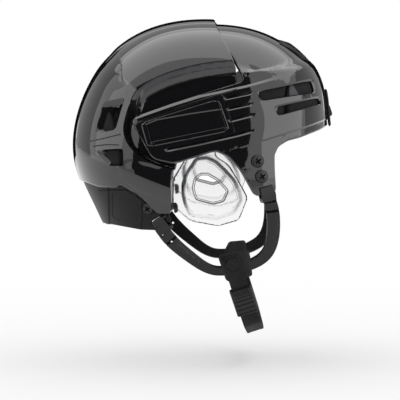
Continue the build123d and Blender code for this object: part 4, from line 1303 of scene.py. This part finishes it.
def make_guard_clip(side, name):
    """Slim clip that grips the guard's lower rear edge from both faces."""
    field = within_flat(GUARD_CLIP)
    u, v, tris = cut_out(flat_sheet(*CLIP_PATCH), field, (0.0, 0.3, 0.8))
    roll = edge_roll(field(u, v), CLIP_EDGE)
    ridge = (1 - eased(np.abs(v - CLIP_MIDDLE), 1.2, 1.8)) * CLIP_RIDGE * MM
    outer = side_points(u, v, GUARD_FACE + GUARD_WALL + CLIP_FACE - roll + ridge)
    inner = side_points(u, v, GUARD_FACE - CLIP_BACK + roll)
    return paint(side_shell(name, (outer, inner), tris, side), satin_black)


for make, shown, slot, node_name in ((make_ear_guard, "clear_guard_", "guard_clear", "ear_guard_"),
                                     (make_guard_clip, "edge_clip_", "trim_black", "guard_clip_")):
    for side, side_name in SIDES:
        fit(make(side, shown + side_name), "front_half", slot, node_name + side_name)


# ---------------------------------------------------------------- screws, one cross recess pattern
SCREW_RISE = 0.0023
SCREW_FOOT = 0.0003
HEAD_DOME = 0.3
HEAD_GRAINS = 14
ARM_SHARE, ARM_WIDTH_SHARE = 500, 130
SHANK_RADIUS = 0.0025
SHANK_END = -0.0055
SHANK_SIDES = 12
# Heights lost in millimetres and the painted shade mask that also dulls, over the distance in from the rim
# and into the recess
RIM_DROP = [(0, 1.1), (0.25, 0.55), (0.8, 0)]
CROSS_DROP = [(0, 0), (0.25, 1.3)]
CROSS_PIT_SHADE = [(0, 0), (0.25, 1)]
RIM_PIT_SHADE = [(0, 1), (0.25, 0.6), (0.5, 0)]
TEMPLE_SCREWS = [(256, 162), (260, 177)]
REAR_SCREW = [(149.5, 208.5)]
SCREW_TURN = 35.0


def make_screw_head(radius, cross):
    """Round screw head with a chamfer, a cross recess and a short shank, around its own origin."""
    reach = radius * 1.1
    sheet = flat_sheet(-reach, reach, -reach, reach, radius / HEAD_GRAINS)
    sheet = [axis * PER_METRE for axis in sheet[:2]] + [sheet[2]]
    edge, arm, thin = radius * PER_METRE, cross * ARM_SHARE, cross * ARM_WIDTH_SHARE
    disc = on_sheet(lambda spots: edge - np.hypot(spots[:, 0], spots[:, 1]))
    recess = on_sheet(lambda spots: np.maximum(
        np.minimum(arm - np.abs(spots[:, 0]), thin - np.abs(spots[:, 1])),
        np.minimum(thin - np.abs(spots[:, 0]), arm - np.abs(spots[:, 1]))))
    u, v, tris = scored(cut_out(sheet, disc, (0.0, 0.25, 0.8)), recess, (0.0, 0.25))
    height = SCREW_RISE - ramp(disc(u, v), RIM_DROP) * MM
    height = height - np.interp(np.hypot(u, v) / edge, [0, 1], [0, HEAD_DOME]) * MM
    height = height - ramp(recess(u, v), CROSS_DROP) * MM
    outer, inner = (np.stack([u * MM, v * MM, z], axis=-1) for z in (height, np.full(len(u), SCREW_FOOT)))
    # Painted shade: the cross recess and the groove round the rim are painted near black and dull
    pit = np.maximum(ramp(recess(u, v), CROSS_PIT_SHADE), ramp(disc(u, v), RIM_PIT_SHADE))
    head = shell_mesh("screw_head", outer, inner, tris, {"pit": pit}, 28)
    turns = [2 * math.pi * k / SHANK_SIDES for k in range(SHANK_SIDES)]
    shank = [(SHANK_RADIUS * math.cos(turn), SHANK_RADIUS * math.sin(turn), z)
             for z in (SCREW_FOOT, SHANK_END) for turn in turns]
    add_parts(head.data, [(shank, tube_faces(2, SHANK_SIDES))])
    return head


def screw_places(points, depth, side):
    """Places and facings of screws on one side."""
    places = []
    for point in points:
        origin, along, down, out = skin_frame(point, depth, SCREW_TURN)
        spot = mirrored(origin + out * SCREW_FOOT, side)
        places.append((spot, facing(*(mirrored(axis, side) for axis in (along, down, out)))))
    return places


temple_head = make_screw_head(0.0062, 0.0064)
rear_head = make_screw_head(0.0052, 0.0058)
for side, side_name in SIDES:
    for head, points, depth, shown, node_name, body in (
            (temple_head, TEMPLE_SCREWS, 0.0, "temple_screw_pair_", "temple_screws_", "front_half"),
            (rear_head, REAR_SCREW, NAPE_DEPTH, "nape_screw_", "rear_screw_", "rear_half")):
        heads = set_parts(shown + side_name, head, screw_places(points, depth, side), screw_black)
        fit(heads, body, "screw_black", node_name + side_name)
for head in (temple_head, rear_head):
    bpy.data.objects.remove(head)


# ---------------------------------------------------------------- harness loops
BAR_SIDE = 0.077
BAR_POINT = placed((233.0, 267.0), BAR_SIDE)
LOOP_HALF_WALL = 0.00175
LOOP_ROUTE = [
    (266.3, 196.5), (270.2, 206), (271.8, 216), (272.2, 228), (271, 240), (267.4, 250.5), (261, 258),
    (252, 263), (243, 266.5), (233, 269), (223, 270.2), (213, 269.8), (203, 265.5), (192, 257.5),
    (180, 248), (171, 239.5), (164.5, 231), (160.5, 225),
]
LOOP_WIDTHS = [12.6, 12.8, 13, 12.8, 12.4, 11.8, 11, 10.4, 9.6, 9, 8.8, 9, 9.8, 11, 12, 12.8, 13, 12.8]
LOOP_SLITS = [[(264, 201.8), (277, 199.6)], [(265, 211.4), (279, 209.6)],
              [(158.6, 236.4), (171.5, 226.0)], [(166.6, 244.0), (178.5, 233.6)]]
SLIT_SHARE = [(0.8, 1), (1.3, 0)]
SLIT_DEPTH = 1.3
LOOP_HOLES = [(271.6, 199.4), (272.2, 210.1), (163.2, 234.4), (172.4, 241.2), (166.6, 217.6), (174, 223.2)]
LOOP_HOLE_RADIUS = 1.25
LOOP_PATCH = (146, 286, 190, 284, 1.25)
LOOP_SHARP = 32
# Raised ribs with their half width near the start; heights over the share of that half width
LOOP_RIBS = (([(272.6, 216.5), (273.6, 226), (273.2, 238), (269.6, 250)], 3.0),
             ([(175.5, 243), (186, 252), (198, 260.5)], 2.6))
RIB_TIP = 0.9
RIB_FORM = [(0, 0.15), (0.55, 0.7), (1.0, 0), (1.5, -0.25), (2.0, 0)]
LOOP_ROLL = [(0, 1.0), (0.25, 0.4), (1.0, 0)]
LOOP_PIPING = [(1.4, 0), (2.0, 0.25), (2.6, 0)]
# Where a loop hangs in each shell: drawing point, depth, turn, wall and the slot's lower edge
LOOP_FEET = (((264.3, 188.3), 0.0, 14.0, WALL, 0.0083),
             ((159.0, 220.0), NAPE_DEPTH, 33.0, NAPE_WALL, 0.0089))
SLOT_TOP = 0.0017
FOOT_DROP = 0.0025
# The folded end around the bar below a slot
FOLD_CLEAR, FOLD_ROOM, FOLD_WALL = 0.0006, 0.0028, 0.002
FOLD_DROP = 0.005
FOLD_HALF = 0.0066
FOLD_CORNERS = (0.0012, 0.0005)
FOLD_RINGS = ((-1.0, 0.0007), (-0.93, 0.0), (0.93, 0.0), (1.0, 0.0007))


def loop_normal():
    """Normal of the plane that the left loop lies in."""
    feet = []
    for point, depth, turn, wall, bottom in LOOP_FEET:
        origin, _, down, out = skin_frame(point, depth, turn)
        feet.append(origin + down * (bottom + FOOT_DROP) - out * (wall / 2))
    normal = (feet[1] - BAR_POINT).cross(feet[0] - BAR_POINT).normalized()
    return normal if normal.y > 0 else -normal


def loop_band():
    """Field over a flat sheet of the distance in from the loop's two long edges."""
    route = softened(LOOP_ROUTE, share=0.25, closed=False)
    stations = np.append(0, np.cumsum(np.hypot(*np.diff(np.array(LOOP_ROUTE, float), axis=0).T)))
    stations = stations / stations[-1] * np.hypot(*np.diff(route, axis=0).T).sum()

    def reach(spots):
        gap, place = along_line(spots, route)
        ends = np.minimum(place, stations[-1] - place)
        return np.where(ends > 0.01, np.interp(place, stations, LOOP_WIDTHS) / 2 - gap, -1.0 - gap)

    return on_sheet(reach)


def loop_height(spots, reach, sunk):
    """Height of the loop's outer face above its plain thickness, in metres."""
    height = (-ramp(reach, LOOP_ROLL) - ramp(reach, LOOP_PIPING)) * MM
    for depth in sunk:
        height = height - depth * SLIT_DEPTH * MM
    for rib, wide in LOOP_RIBS:
        gap, place = along_line(spots, np.array(rib, float))
        half = np.interp(place, [0, 6, 30], [wide * 0.7, wide, RIB_TIP])
        height = height + ramp(gap / half, RIB_FORM) * MM
    return height


def make_loop(side, name):
    """Harness loop of one side: flat strap through the sleeve, with slits, holes, ribs and folded ends."""
    band = loop_band()
    holes = on_sheet(lambda spots: LOOP_HOLE_RADIUS - np.min(
        [np.hypot(spots[:, 0] - u, spots[:, 1] - v) for u, v in LOOP_HOLES], axis=0))
    sheet = cut_out(flat_sheet(*LOOP_PATCH), band, (0.0, 0.25, 1.0, 2.0))
    sheet = cut_away(sheet, holes)
    for slit in LOOP_SLITS:
        sheet = scored(sheet, on_sheet(lambda spots: signed_gap(spots, slit)), both_sides(SLIT_SHARE))
    u, v, tris = sheet
    spots = np.stack([u, v], axis=-1)
    sunk = [ramp(line_distance(spots, slit)[0], SLIT_SHARE) for slit in LOOP_SLITS]
    height = loop_height(spots, band(u, v), sunk)
    flat = side_points(u, v, np.zeros(len(u)))
    sight, way = np.array([0.0, 1.0, SIGHT_RISE]), np.array(loop_normal())
    outward = ((np.array(BAR_POINT) - flat) @ way) / (sight @ way)
    middle = flat + outward[:, None] * sight
    layers = middle + way * (LOOP_HALF_WALL + height)[:, None], middle - way * LOOP_HALF_WALL
    # Painted shade: the slits are painted near black and dull through the pit mask
    strap = side_shell(name, layers, tris, side, LOOP_SHARP, {"pit": np.max(sunk, axis=0)})
    add_parts(strap.data, [loop_end(side, *foot) for foot in LOOP_FEET])
    smoothed(strap.data, LOOP_SHARP)
    return paint(strap, loop_black)


def loop_end(side, point, depth, turn, wall, bottom):
    """Folded end of the loop around the bar below one slot."""
    origin, along, down, out = skin_frame(point, depth, turn)
    room = wall + FOLD_CLEAR + FOLD_ROOM
    middle = FOLD_CLEAR - room / 2
    outer = rounded_box(room + 2 * FOLD_WALL, SLOT_TOP + bottom + FOLD_DROP, FOLD_CORNERS[0], 3)
    inner = rounded_box(room, bottom - SLOT_TOP, FOLD_CORNERS[1], 3)
    shifts = (bottom + FOLD_DROP - SLOT_TOP) / 2, (SLOT_TOP + bottom) / 2
    vertices, faces = [], []
    count = len(outer)
    for share, pull in FOLD_RINGS:
        for ring, shift, sign in zip((outer, inner), shifts, (-1, 1)):
            for a, b in ring:
                a += sign * pull * np.sign(a)
                b += sign * pull * np.sign(b)
                spot = origin + out * (middle + a) + down * (shift + b) + along * (share * FOLD_HALF)
                vertices.append(mirrored(spot, side))
    walls = [(ring * 2 * count + start, 2 * count) for ring in range(3) for start in (0, count)]
    for first, after in walls + [(ring * 2 * count, count) for ring in (0, 3)]:
        for k in range(count):
            a, b = first + k, first + (k + 1) % count
            faces.append((a, b, b + after, a + after))
    return vertices, faces


for side, side_name in SIDES:
    loop = make_loop(side, "harness_loop_" + side_name)
    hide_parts("front_loop_" + side_name, "rear_loop_" + side_name)
    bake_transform(loop)


# ---------------------------------------------------------------- fabric sleeves
SLEEVE_NEAR = softened([(217, 254.5), (248, 249), (250.5, 262), (251.5, 275), (226, 281)], share=0.08)
SLEEVE_FAR = softened([(229.5, 257.8), (246.2, 256.4), (249.5, 277), (220, 277)], share=0.08)
SLEEVE_HALF_WALL = 0.0044
SLEEVE_LEAST = 0.0012
SLEEVE_ROLL = 3.2
SLEEVE_PATCH = (212, 256, 245, 285, 1.1)
WAVE_SEED = 11
WAVE_SCALES = (0.6, 1.3, 2.2, 3.1)
WAVE_HEIGHT = 0.00007


def make_sleeve(side, outline, name):
    """Fuzzy fabric sleeve around a loop's lower run, open at both ends."""
    field = within_flat(outline)
    u, v, tris = cut_out(flat_sheet(*SLEEVE_PATCH), field, (0.0, 0.3, 1.2, 2.6))
    spots = np.stack([u, v], axis=-1)
    rng = np.random.default_rng(WAVE_SEED)
    waves = sum(np.sin(spots @ rng.uniform(-1, 1, 2) * scale + rng.uniform(0, 6)) for scale in WAVE_SCALES)
    half = np.maximum(SLEEVE_HALF_WALL - edge_roll(field(u, v), SLEEVE_ROLL), SLEEVE_LEAST)
    half = half + waves * WAVE_HEIGHT
    layers = side_points(u, v, BAR_SIDE + half), side_points(u, v, BAR_SIDE - half)
    return paint(side_shell(name, layers, tris, side, 50), sleeve_fuzz)


for (side, side_name), outline, body in zip(SIDES, (SLEEVE_FAR, SLEEVE_NEAR),
                                            ("chin_strap_body", "front_half")):
    sleeve = make_sleeve(side, outline, "fuzzy_sleeve_" + side_name)
    fit(sleeve, body, "sleeve_fabric", "strap_sleeve_" + side_name)


# ---------------------------------------------------------------- chin strap
STRAP_LEAN = math.radians(17.8)
STRAP_OUT = Vector((math.cos(STRAP_LEAN), 0, math.sin(STRAP_LEAN)))
STRAP_UP = Vector((-math.sin(STRAP_LEAN), 0, math.cos(STRAP_LEAN)))
STRAP_WIDTH = 0.0163
STRAP_THICKNESS = 0.002
STRAP_TAB = 0.0828
STRAP_CORNERS = [(-82.8, 12.5), (-82.8, -16.5), (-64, -58.3), (0, -76.6), (64, -58.3), (77, -6.2)]
STRAP_RADII = [8, 12, 120, 12]
STRAP_STEPS = 150
# Quarter of the section: shares of the half thickness, and how far in from the long edge
STRAP_EDGE = [(0.55, 0.0), (1.0, 0.0006), (1.0, 0.0019), (0.8, 0.0023)]


def strap_place(across, up):
    """Place in the strap's leaning plane: out to the left, and up from the bar."""
    return Vector((BAR_POINT.x, across, BAR_POINT.z)) + STRAP_UP * up


def strap_path():
    """Middle line of the strap in even short steps."""
    rough = np.array(filleted(STRAP_CORNERS, STRAP_RADII, 14)) * MM
    run = np.append(0, np.cumsum(np.hypot(*np.diff(rough, axis=0).T)))
    steps = np.linspace(0, run[-1], STRAP_STEPS)
    return [strap_place(*(np.interp(step, run, axis) for axis in rough.T)) for step in steps]


def make_chin_strap():
    """Webbing strap in a shallow U, with thick woven edges and a rounded tongue."""
    half, thick = STRAP_WIDTH / 2, STRAP_THICKNESS / 2
    edge = [(thick * share, half - inset) for share, inset in STRAP_EDGE]
    middle = thick * STRAP_EDGE[-1][0]
    upper = [edge[0]] + [(-a, b) for a, b in edge]
    lower = [(-a, -b) for a, b in edge[::-1]] + [(a, -b) for a, b in edge]
    section = upper + [(-middle, 0.0)] + lower + [(middle, 0.0)] + edge[:0:-1]
    return mesh_piece("chin_strap_webbing", [swept(strap_path(), STRAP_OUT, section)], webbing_black, 60)


fit(make_chin_strap(), "chin_strap_body", "webbing_black", "chin_strap")


# ---------------------------------------------------------------- buckle on the strap's right leg
BUCKLE_LENGTH = 0.029
BUCKLE_WIDTH = 0.0215
BUCKLE_THICKNESS = 0.0064
BUCKLE_TOP, BUCKLE_FOOT = strap_place(-0.0828, -0.0165), strap_place(-0.064, -0.0583)
BUCKLE_DROP = 0.0035
BUCKLE_ROWS = 76
BUCKLE_CORNER = 0.0016
BUCKLE_FACE = BUCKLE_THICKNESS / 2 - 0.0001
BUCKLE_RIBBED = BUCKLE_WIDTH / 2 - 0.002
RIB_HEIGHT, FACE_HEIGHT = 0.0008, 0.0002
TOOTH_PITCH = 0.0026
RIBS_START, RIB_PITCH = 0.3, 0.163
STRAP_ROOM = 0.0006


def buckle_section():
    """Rounded section of the buckle, with short steps along its faces."""
    around = rounded_box(BUCKLE_WIDTH, BUCKLE_THICKNESS, BUCKLE_CORNER, 4)
    fine = []
    for point, after in zip(around, around[1:] + around[:1]):
        gap = math.hypot(after[0] - point[0], after[1] - point[1])
        pieces = 30 if gap > 0.01 else (6 if gap > 0.002 else 1)
        for k in range(pieces):
            share = k / pieces
            fine.append((point[0] + (after[0] - point[0]) * share, point[1] + (after[1] - point[1]) * share))
    return fine


def buckle_lift(a, b, share):
    """Height of the teeth at the buckle's top and of the ribs across its face."""
    on_face = b > BUCKLE_FACE and abs(a) < BUCKLE_RIBBED
    if on_face and 0.03 < share < 0.24:
        return RIB_HEIGHT * (math.cos(a / TOOTH_PITCH * 2 * math.pi) > -0.1)
    if on_face and RIBS_START < share < 0.95:
        return RIB_HEIGHT * (math.cos((share - RIBS_START) / RIB_PITCH * 2 * math.pi) > 0.25)
    return FACE_HEIGHT if b > BUCKLE_FACE else 0.0


def make_buckle():
    """Slider with a row of teeth at its top and ribs across its face."""
    way = (BUCKLE_FOOT - BUCKLE_TOP).normalized()
    out = STRAP_OUT.cross(way).normalized()
    out = out if out.y < 0 else -out
    origin = BUCKLE_TOP + way * BUCKLE_DROP
    fine = buckle_section()
    vertices = []
    for share in [row / BUCKLE_ROWS for row in range(BUCKLE_ROWS + 1)]:
        pull = max(0.0, 0.0008 - min(share, 1 - share) * BUCKLE_LENGTH) * 0.8
        for a, b in fine:
            side_a, side_b = a - np.sign(a) * pull, b + buckle_lift(a, b, share) - np.sign(b) * pull
            vertices.append(origin + way * (share * BUCKLE_LENGTH) + STRAP_OUT * side_a + out * side_b)
    count = len(fine)
    faces = tube_faces(BUCKLE_ROWS + 1, count, capped=False)
    scale_a = (STRAP_WIDTH + STRAP_ROOM) / BUCKLE_WIDTH
    scale_b = (STRAP_THICKNESS + STRAP_ROOM) / BUCKLE_THICKNESS
    base = len(vertices)
    for share in (0.0, 1.0):
        vertices += [origin + way * (share * BUCKLE_LENGTH) + STRAP_OUT * (a * scale_a) + out * (b * scale_b)
                     for a, b in fine]
    low, high = BUCKLE_ROWS * count, base + count
    for k in range(count):
        n = (k + 1) % count
        faces += [(k, base + k, base + n, n), (low + k, low + n, high + n, high + k),
                  (base + k, high + k, high + n, base + n)]
    return mesh_piece("ribbed_buckle", [(vertices, faces)], satin_black, 30)


fit(make_buckle(), "buckle_body", "trim_black", "strap_buckle")


# ---------------------------------------------------------------- stitches on the sleeve and strap
STITCH_GAP = 0.0026
STITCH_LENGTH = 0.0019
STITCH_ARCH = 0.00022
STITCH_RADIUS = 0.00026
STITCH_RINGS = STITCH_SIDES = 5
STITCH_SIZES = (0.9, 1.1)
SEAM_OUT = Vector((0, -1, 0))
SLEEVE_SEAMS = (((219.5, 257.6), (246.5, 252.4)), ((227, 277.6), (249, 272.4)))
TONGUE_FOOT, TONGUE_TOP = -0.0045, 0.0108


def make_stitch():
    """One short sewn thread, arched, with a few faces."""
    vertices = []
    for share in np.arange(STITCH_RINGS) / (STITCH_RINGS - 1):
        x, z = (share - 0.5) * STITCH_LENGTH, STITCH_ARCH * math.sin(share * math.pi)
        for k in range(STITCH_SIDES):
            turn = 2 * math.pi * k / STITCH_SIDES
            vertices.append((x, STITCH_RADIUS * math.cos(turn), z + STITCH_RADIUS * math.sin(turn)))
    return mesh_piece("stitch", [(vertices, tube_faces(STITCH_RINGS, STITCH_SIDES))], thread_black, 80)


def stitch_row(start, end):
    """Places and facings of stitches along a straight seam."""
    way = end - start
    count = max(2, int(way.length / STITCH_GAP))
    along = way.normalized()
    turn = facing(along, SEAM_OUT.cross(along), SEAM_OUT)
    return [(start + way * ((k + 0.5) / count), turn) for k in range(count)]


def sleeve_seams():
    """Two seams near the upper and lower edge of the near sleeve."""
    y = -(BAR_SIDE + SLEEVE_HALF_WALL - 0.0001)
    return sum((stitch_row(placed(start, y), placed(end, y)) for start, end in SLEEVE_SEAMS), [])


def tongue_seams():
    """Sewn end of the strap's near tongue, over the sleeve."""
    half = STRAP_OUT * (STRAP_WIDTH / 2 - 0.0021)
    low, high = (strap_place(-STRAP_TAB - 0.00085, up) for up in (TONGUE_FOOT, TONGUE_TOP))
    return (stitch_row(low - half, low + half) + stitch_row(high - half, high + half)
            + stitch_row(low - half, high - half) + stitch_row(low + half, high + half))


stitch = make_stitch()
for name, seams, body, slot in (("sleeve_stitches", sleeve_seams(), "front_half", "sleeve_fabric"),
                                ("strap_stitches", tongue_seams(), "chin_strap_body", "webbing_black")):
    sewn = set_parts(name, stitch, seams, thread_black, STITCH_SIZES)
    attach(sewn, body)
bpy.data.objects.remove(stitch)


# ---------------------------------------------------------------- foam pads
PAD_THICKNESS = 0.010
PAD_DEPTH = 0.0032
LINER_DEPTH = 0.0112
PAD_EDGE = 3.4
PAD_LEVELS = (0.0, 0.5, 1.6, 3.5)
PAD_GRAIN = (1.6, 2.0)
TAIL_EDGE = (168, 177)
PAD_CROWN, PAD_CROWN_REACH = 0.0022, 14
PAD_FRONT_ROLL, PAD_BACK_ROLL = 0.0042, 0.0052
CHANNEL_DEPTH, CHANNEL_REACH = 2.2, 3.2
CHANNEL_LEVELS = (-3.2, -1.4, 0.0, 1.4, 3.2)
PATCH_EDGE = [(0, 0), (0.5, 1)]
CROWN_FRONT_PAD = softened([(246, -10), (310, -10), (310, 54), (290, 62), (250, 72), (246, 72)], share=0.12)
CROWN_REAR_PAD = softened([(118, -10), (222, -10), (222, 44), (180, 50), (118, 72)], share=0.12)
BROW_PAD = softened([(288, 79), (313, 72), (345, 64), (345, 108), (326, 118), (300, 129), (288, 132)],
                    share=0.12)
BROW_PAD_PATCH = softened([(289.5, 84.5), (292.5, 83.5), (302, 98.5), (289.5, 101)], share=0.04)
TEMPLE_PAD = softened([(247, 88), (285, 79), (285, 134), (275, 138), (268, 146), (247, 146)], share=0.12)
SIDE_PAD = softened([(106.5, 95), (160, 84), (176, 108), (172, 146), (150, 156), (124, 142)], share=0.12)
BACK_PAD = softened([(60, 84), (104, 84), (112, 120), (120, 150), (120, 168), (60, 168)], share=0.12)
NAPE_PAD = softened([(60, 186), (132, 186), (142, 204), (138, 222), (60, 222)], share=0.12)
CROWN_FRONT_CHANNELS = ([(246, 40), (312, 40)],)
CROWN_REAR_CHANNELS = ([(118, 40), (222, 28)],)
BACK_CHANNELS = ([(60, 126), (118, 126)],)
NAPE_PAD_DEPTH = NAPE_DEPTH + NAPE_WALL + 0.0006


def pad_channels(spots, lines):
    """Depth of pressed channels across a pad, in metres."""
    depth = np.zeros(len(spots))
    for line in lines:
        gap, _ = line_distance(spots, line)
        depth = np.maximum(depth, (1 - eased(gap, 0.0, CHANNEL_REACH)) * CHANNEL_DEPTH * MM)
    return depth


def crown_rear_near(spots):
    """Depth of the rear crown pad's outer face: it steps in where the front dome's tail lies."""
    return PAD_DEPTH + (LINER_DEPTH - PAD_DEPTH) * eased(spots[:, 0], *TAIL_EDGE)


def pad_sheet(outline, span, side, channels, patch):
    """Fan sheet of one pad, scored along its rolled edge, its channels and its paler patch."""
    sheet = fan_sheet(*span, *PAD_GRAIN)
    if side:
        sheet = trimmed(sheet, lambda angle, turn: turn * side)
    sheet = scored_lines(cut_out(sheet, within(outline), PAD_LEVELS), channels, CHANNEL_LEVELS)
    return sheet if patch is None else scored(sheet, within(patch), (0.0, 0.5))


def fit_pad(names, body, outline, span, near, side=0, on_dome=False, channels=(), patch=None):
    """Crowned foam pad inside a shell, with rolled edges and pressed channels."""
    angle, turn, tris = pad_sheet(outline, span, side, channels, patch)
    spots = drawn(skin_point(angle, turn))
    reach = inside(spots, outline)
    crown = PAD_CROWN * (1 - eased(reach, 0, PAD_CROWN_REACH)) + pad_channels(spots, channels)
    roll = edge_roll(reach, PAD_EDGE)
    near_depth = near(spots) if callable(near) else near
    front = near_depth + np.minimum(roll, PAD_FRONT_ROLL)
    back = near_depth + PAD_THICKNESS - np.minimum(crown + roll, PAD_BACK_ROLL)
    layers = [dome_point(angle, turn, -depth) if on_dome else skin_point(angle, turn, depth)
              for depth in (front, back)]
    pale = np.zeros(len(angle)) if patch is None else ramp(inside(spots, patch), PATCH_EDGE)
    piece = paint(shell_mesh(names[0], *layers, tris, {"pale": pale}, 70), foam_black)
    fit(piece, body, "foam_black", names[1])


fit_pad(("crown_foam_front", "crown_pad_front"), "front_half", CROWN_FRONT_PAD, (30, 84), PAD_DEPTH,
        on_dome=True, channels=CROWN_FRONT_CHANNELS)
fit_pad(("crown_foam_rear", "crown_pad_rear"), "rear_half", CROWN_REAR_PAD, (64, 136), crown_rear_near,
        channels=CROWN_REAR_CHANNELS)
fit_pad(("brow_foam", "brow_pad"), "front_half", BROW_PAD, (-4, 62), PAD_DEPTH, patch=BROW_PAD_PATCH)
fit_pad(("back_foam", "back_pad"), "rear_half", BACK_PAD, (130, 196), PAD_DEPTH, channels=BACK_CHANNELS)
fit_pad(("nape_foam", "nape_pad"), "rear_half", NAPE_PAD, (160, 238), NAPE_PAD_DEPTH)
for side, side_name in SIDES:
    fit_pad(("temple_foam_" + side_name, "temple_pad_" + side_name), "front_half", TEMPLE_PAD, (2, 80),
            PAD_DEPTH, side)
    fit_pad(("side_foam_" + side_name, "side_pad_" + side_name), "rear_half", SIDE_PAD, (84, 170),
            LINER_DEPTH, side)


# ---------------------------------------------------------------- finishes of the plain hard parts
PLAIN_FINISHES = [
    (satin_black, ("adjust_rack_left", "adjust_rack_right", "guide_stud_left", "guide_stud_right")),
    (screw_black, ("guard_rivets_left", "guard_rivets_right", "guide_nut_left", "guide_nut_right",
                   "temple_nuts_left", "temple_nuts_right", "rear_nut_left", "rear_nut_right")),
    (webbing_black, ("snap_stud",)),
    (steel, ("snap_socket", "latch_pin_left", "latch_pin_right")),
]
for finish, names in PLAIN_FINISHES:
    for name in names:
        paint(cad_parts[name], finish)


# ---------------------------------------------------------------- stage, lamps and camera
SIGHT_ANGLE = math.atan(SIGHT_RISE)
CAMERA_DISTANCE = 4.0
CAMERA_TARGET = Vector((3.0 * STEP, 0, -15.0 * STEP / math.cos(SIGHT_ANGLE)))
SENSOR = 36.0
PICTURE_STEPS = 400
FLOOR_Z = -0.168
FLOOR_HALF = 6.0
FLOOR_GREY = (0.93, 0.93, 0.93, 1)
LOW_LIGHT = 0.6
CARD_BLACK = (0.004, 0.004, 0.004, 1)
CARD_GLOW = (0.98, 1.0, 0.97, 1)
# Name, place, target, width, height and power
LAMPS = (
    ("top_box", (0.0, 0.9, 2.0), (0.0, 0.9, 0.0), 4.4, 2.9, 33),
    ("front_box", (1.75, -0.9, 0.4), (0, 0, 0), 1.9, 2.0, 11),
    ("rear_box", (-1.9, -0.3, 0.6), (0, 0, 0), 1.9, 2.0, 7.5),
)
# Name, place, target, width, height and glow
CARDS = (
    ("side_flag", (-0.385, -1.6, 0.15), (-0.385, 0, 0.15), 2.23, 1.5, 0.0),
    ("high_flag", (-0.385, -1.243, 1.257), (-0.385, -0.074, 0.088), 2.23, 1.053, 0.0),
    ("back_flag", (0.0, 1.5, -0.05), (0, 0, 0.0), 1.8, 1.5, 0.0),
    ("back_card", (0.0, 2.4, 1.3), (0, 0, 0.1), 4.6, 2.4, 0.45),
    ("rear_card", (-2.5, 1.5, 0.7), (0, 0, 0), 3.0, 3.2, 0.45),
    ("front_card", (2.5, 1.5, 0.7), (0, 0, 0), 3.0, 3.2, 0.45),
)


def rectangle(name, half_width, half_height, z=0.0):
    """Flat rectangle around the origin, at a height."""
    mesh = bpy.data.meshes.new(name)
    corners = [(a * half_width, b * half_height, z) for a, b in ((-1, -1), (1, -1), (1, 1), (-1, 1))]
    mesh.from_pydata(corners, [], [(0, 1, 2, 3)])
    return linked(name, mesh)


def aim(thing, place, target):
    """Set a lamp or card at a place, facing a target."""
    thing.location = place
    thing.rotation_euler = (Vector(target) - Vector(place)).to_track_quat("-Z", "Y").to_euler()


def mixed(tree, share, first, second, end):
    """Send a blend of two shaders to a tree's output node."""
    tree_end, both = node(tree, end), node(tree, "ShaderNodeMixShader")
    for socket, value in zip(both.inputs, (share, first.outputs[0], second.outputs[0])):
        tree.links.new(value, socket)
    tree.links.new(both.outputs[0], tree_end.inputs["Surface"])


def make_floor():
    """Pale floor that keeps a soft shadow and fades into the background."""
    floor = rectangle("floor", FLOOR_HALF, FLOOR_HALF, FLOOR_Z)
    material, tree, _ = new_material("floor_white")
    tree.nodes.clear()
    lit = node(tree, "ShaderNodeBsdfDiffuse", in_Color=FLOOR_GREY)
    glow = node(tree, "ShaderNodeEmission", in_Color=(1, 1, 1, 1), in_Strength=1.0)
    length = node(tree, "ShaderNodeVectorMath", operation="LENGTH")
    tree.links.new(object_place(tree), length.inputs[0])
    far = spread(tree, length.outputs["Value"], 0.25, 0.75, 0.35, 1.0)
    share = maths(tree, "MULTIPLY", far, node(tree, "ShaderNodeLightPath").outputs["Is Camera Ray"])
    mixed(tree, share, lit, glow, "ShaderNodeOutputMaterial")
    paint(floor, material)


def make_world():
    """White background for what the camera, gloss and glass see, and a low even light."""
    world = bpy.data.worlds.new("studio")
    world.use_nodes = True
    bpy.context.scene.world = world
    tree = world.node_tree
    tree.nodes.clear()
    low, shown = (node(tree, "ShaderNodeBackground", in_Color=(1, 1, 1, 1), in_Strength=strength)
                  for strength in (LOW_LIGHT, 1.0))
    seen = node(tree, "ShaderNodeLightPath").outputs
    share = maths(tree, "MAXIMUM", seen["Is Camera Ray"], seen["Is Glossy Ray"])
    share = maths(tree, "MAXIMUM", share, seen["Is Transmission Ray"])
    mixed(tree, share, low, shown, "ShaderNodeOutputWorld")


def lamp(name, place, target, width, height, power):
    """Soft rectangular lamp."""
    data = bpy.data.lights.new(name, "AREA")
    data.shape = "RECTANGLE"
    data.size, data.size_y, data.energy = width, height, power
    aim(linked(name, data), place, target)


def flag(name, place, target, width, height, glow):
    """Dark or grey card that only gloss sees, for the darker reflections."""
    card = rectangle(name, width / 2, height / 2)
    aim(card, place, target)
    card.visible_camera = card.visible_diffuse = card.visible_shadow = card.visible_transmission = False
    material, _, shader = new_material(name)
    settle(shader, Base_Color=CARD_BLACK, Roughness=1.0, Specular_IOR_Level=0.0, Emission_Color=CARD_GLOW,
           Emission_Strength=glow)
    paint(card, material)


def make_camera():
    """Long lens at the photograph's angle."""
    data = bpy.data.cameras.new("camera")
    camera = linked("camera", data)
    way = Vector((0, -math.cos(SIGHT_ANGLE), math.sin(SIGHT_ANGLE)))
    camera.location = CAMERA_TARGET + way * CAMERA_DISTANCE
    camera.rotation_euler = (math.pi / 2 - SIGHT_ANGLE, 0, 0)
    data.sensor_width = SENSOR
    data.lens = SENSOR * CAMERA_DISTANCE / (PICTURE_STEPS * STEP)
    data.clip_end = 100.0
    bpy.context.scene.camera = camera


make_floor()
make_world()
for row in LAMPS:
    lamp(*row)
for row in CARDS:
    flag(*row)
make_camera()
bpy.context.scene.view_settings.view_transform = "Standard"
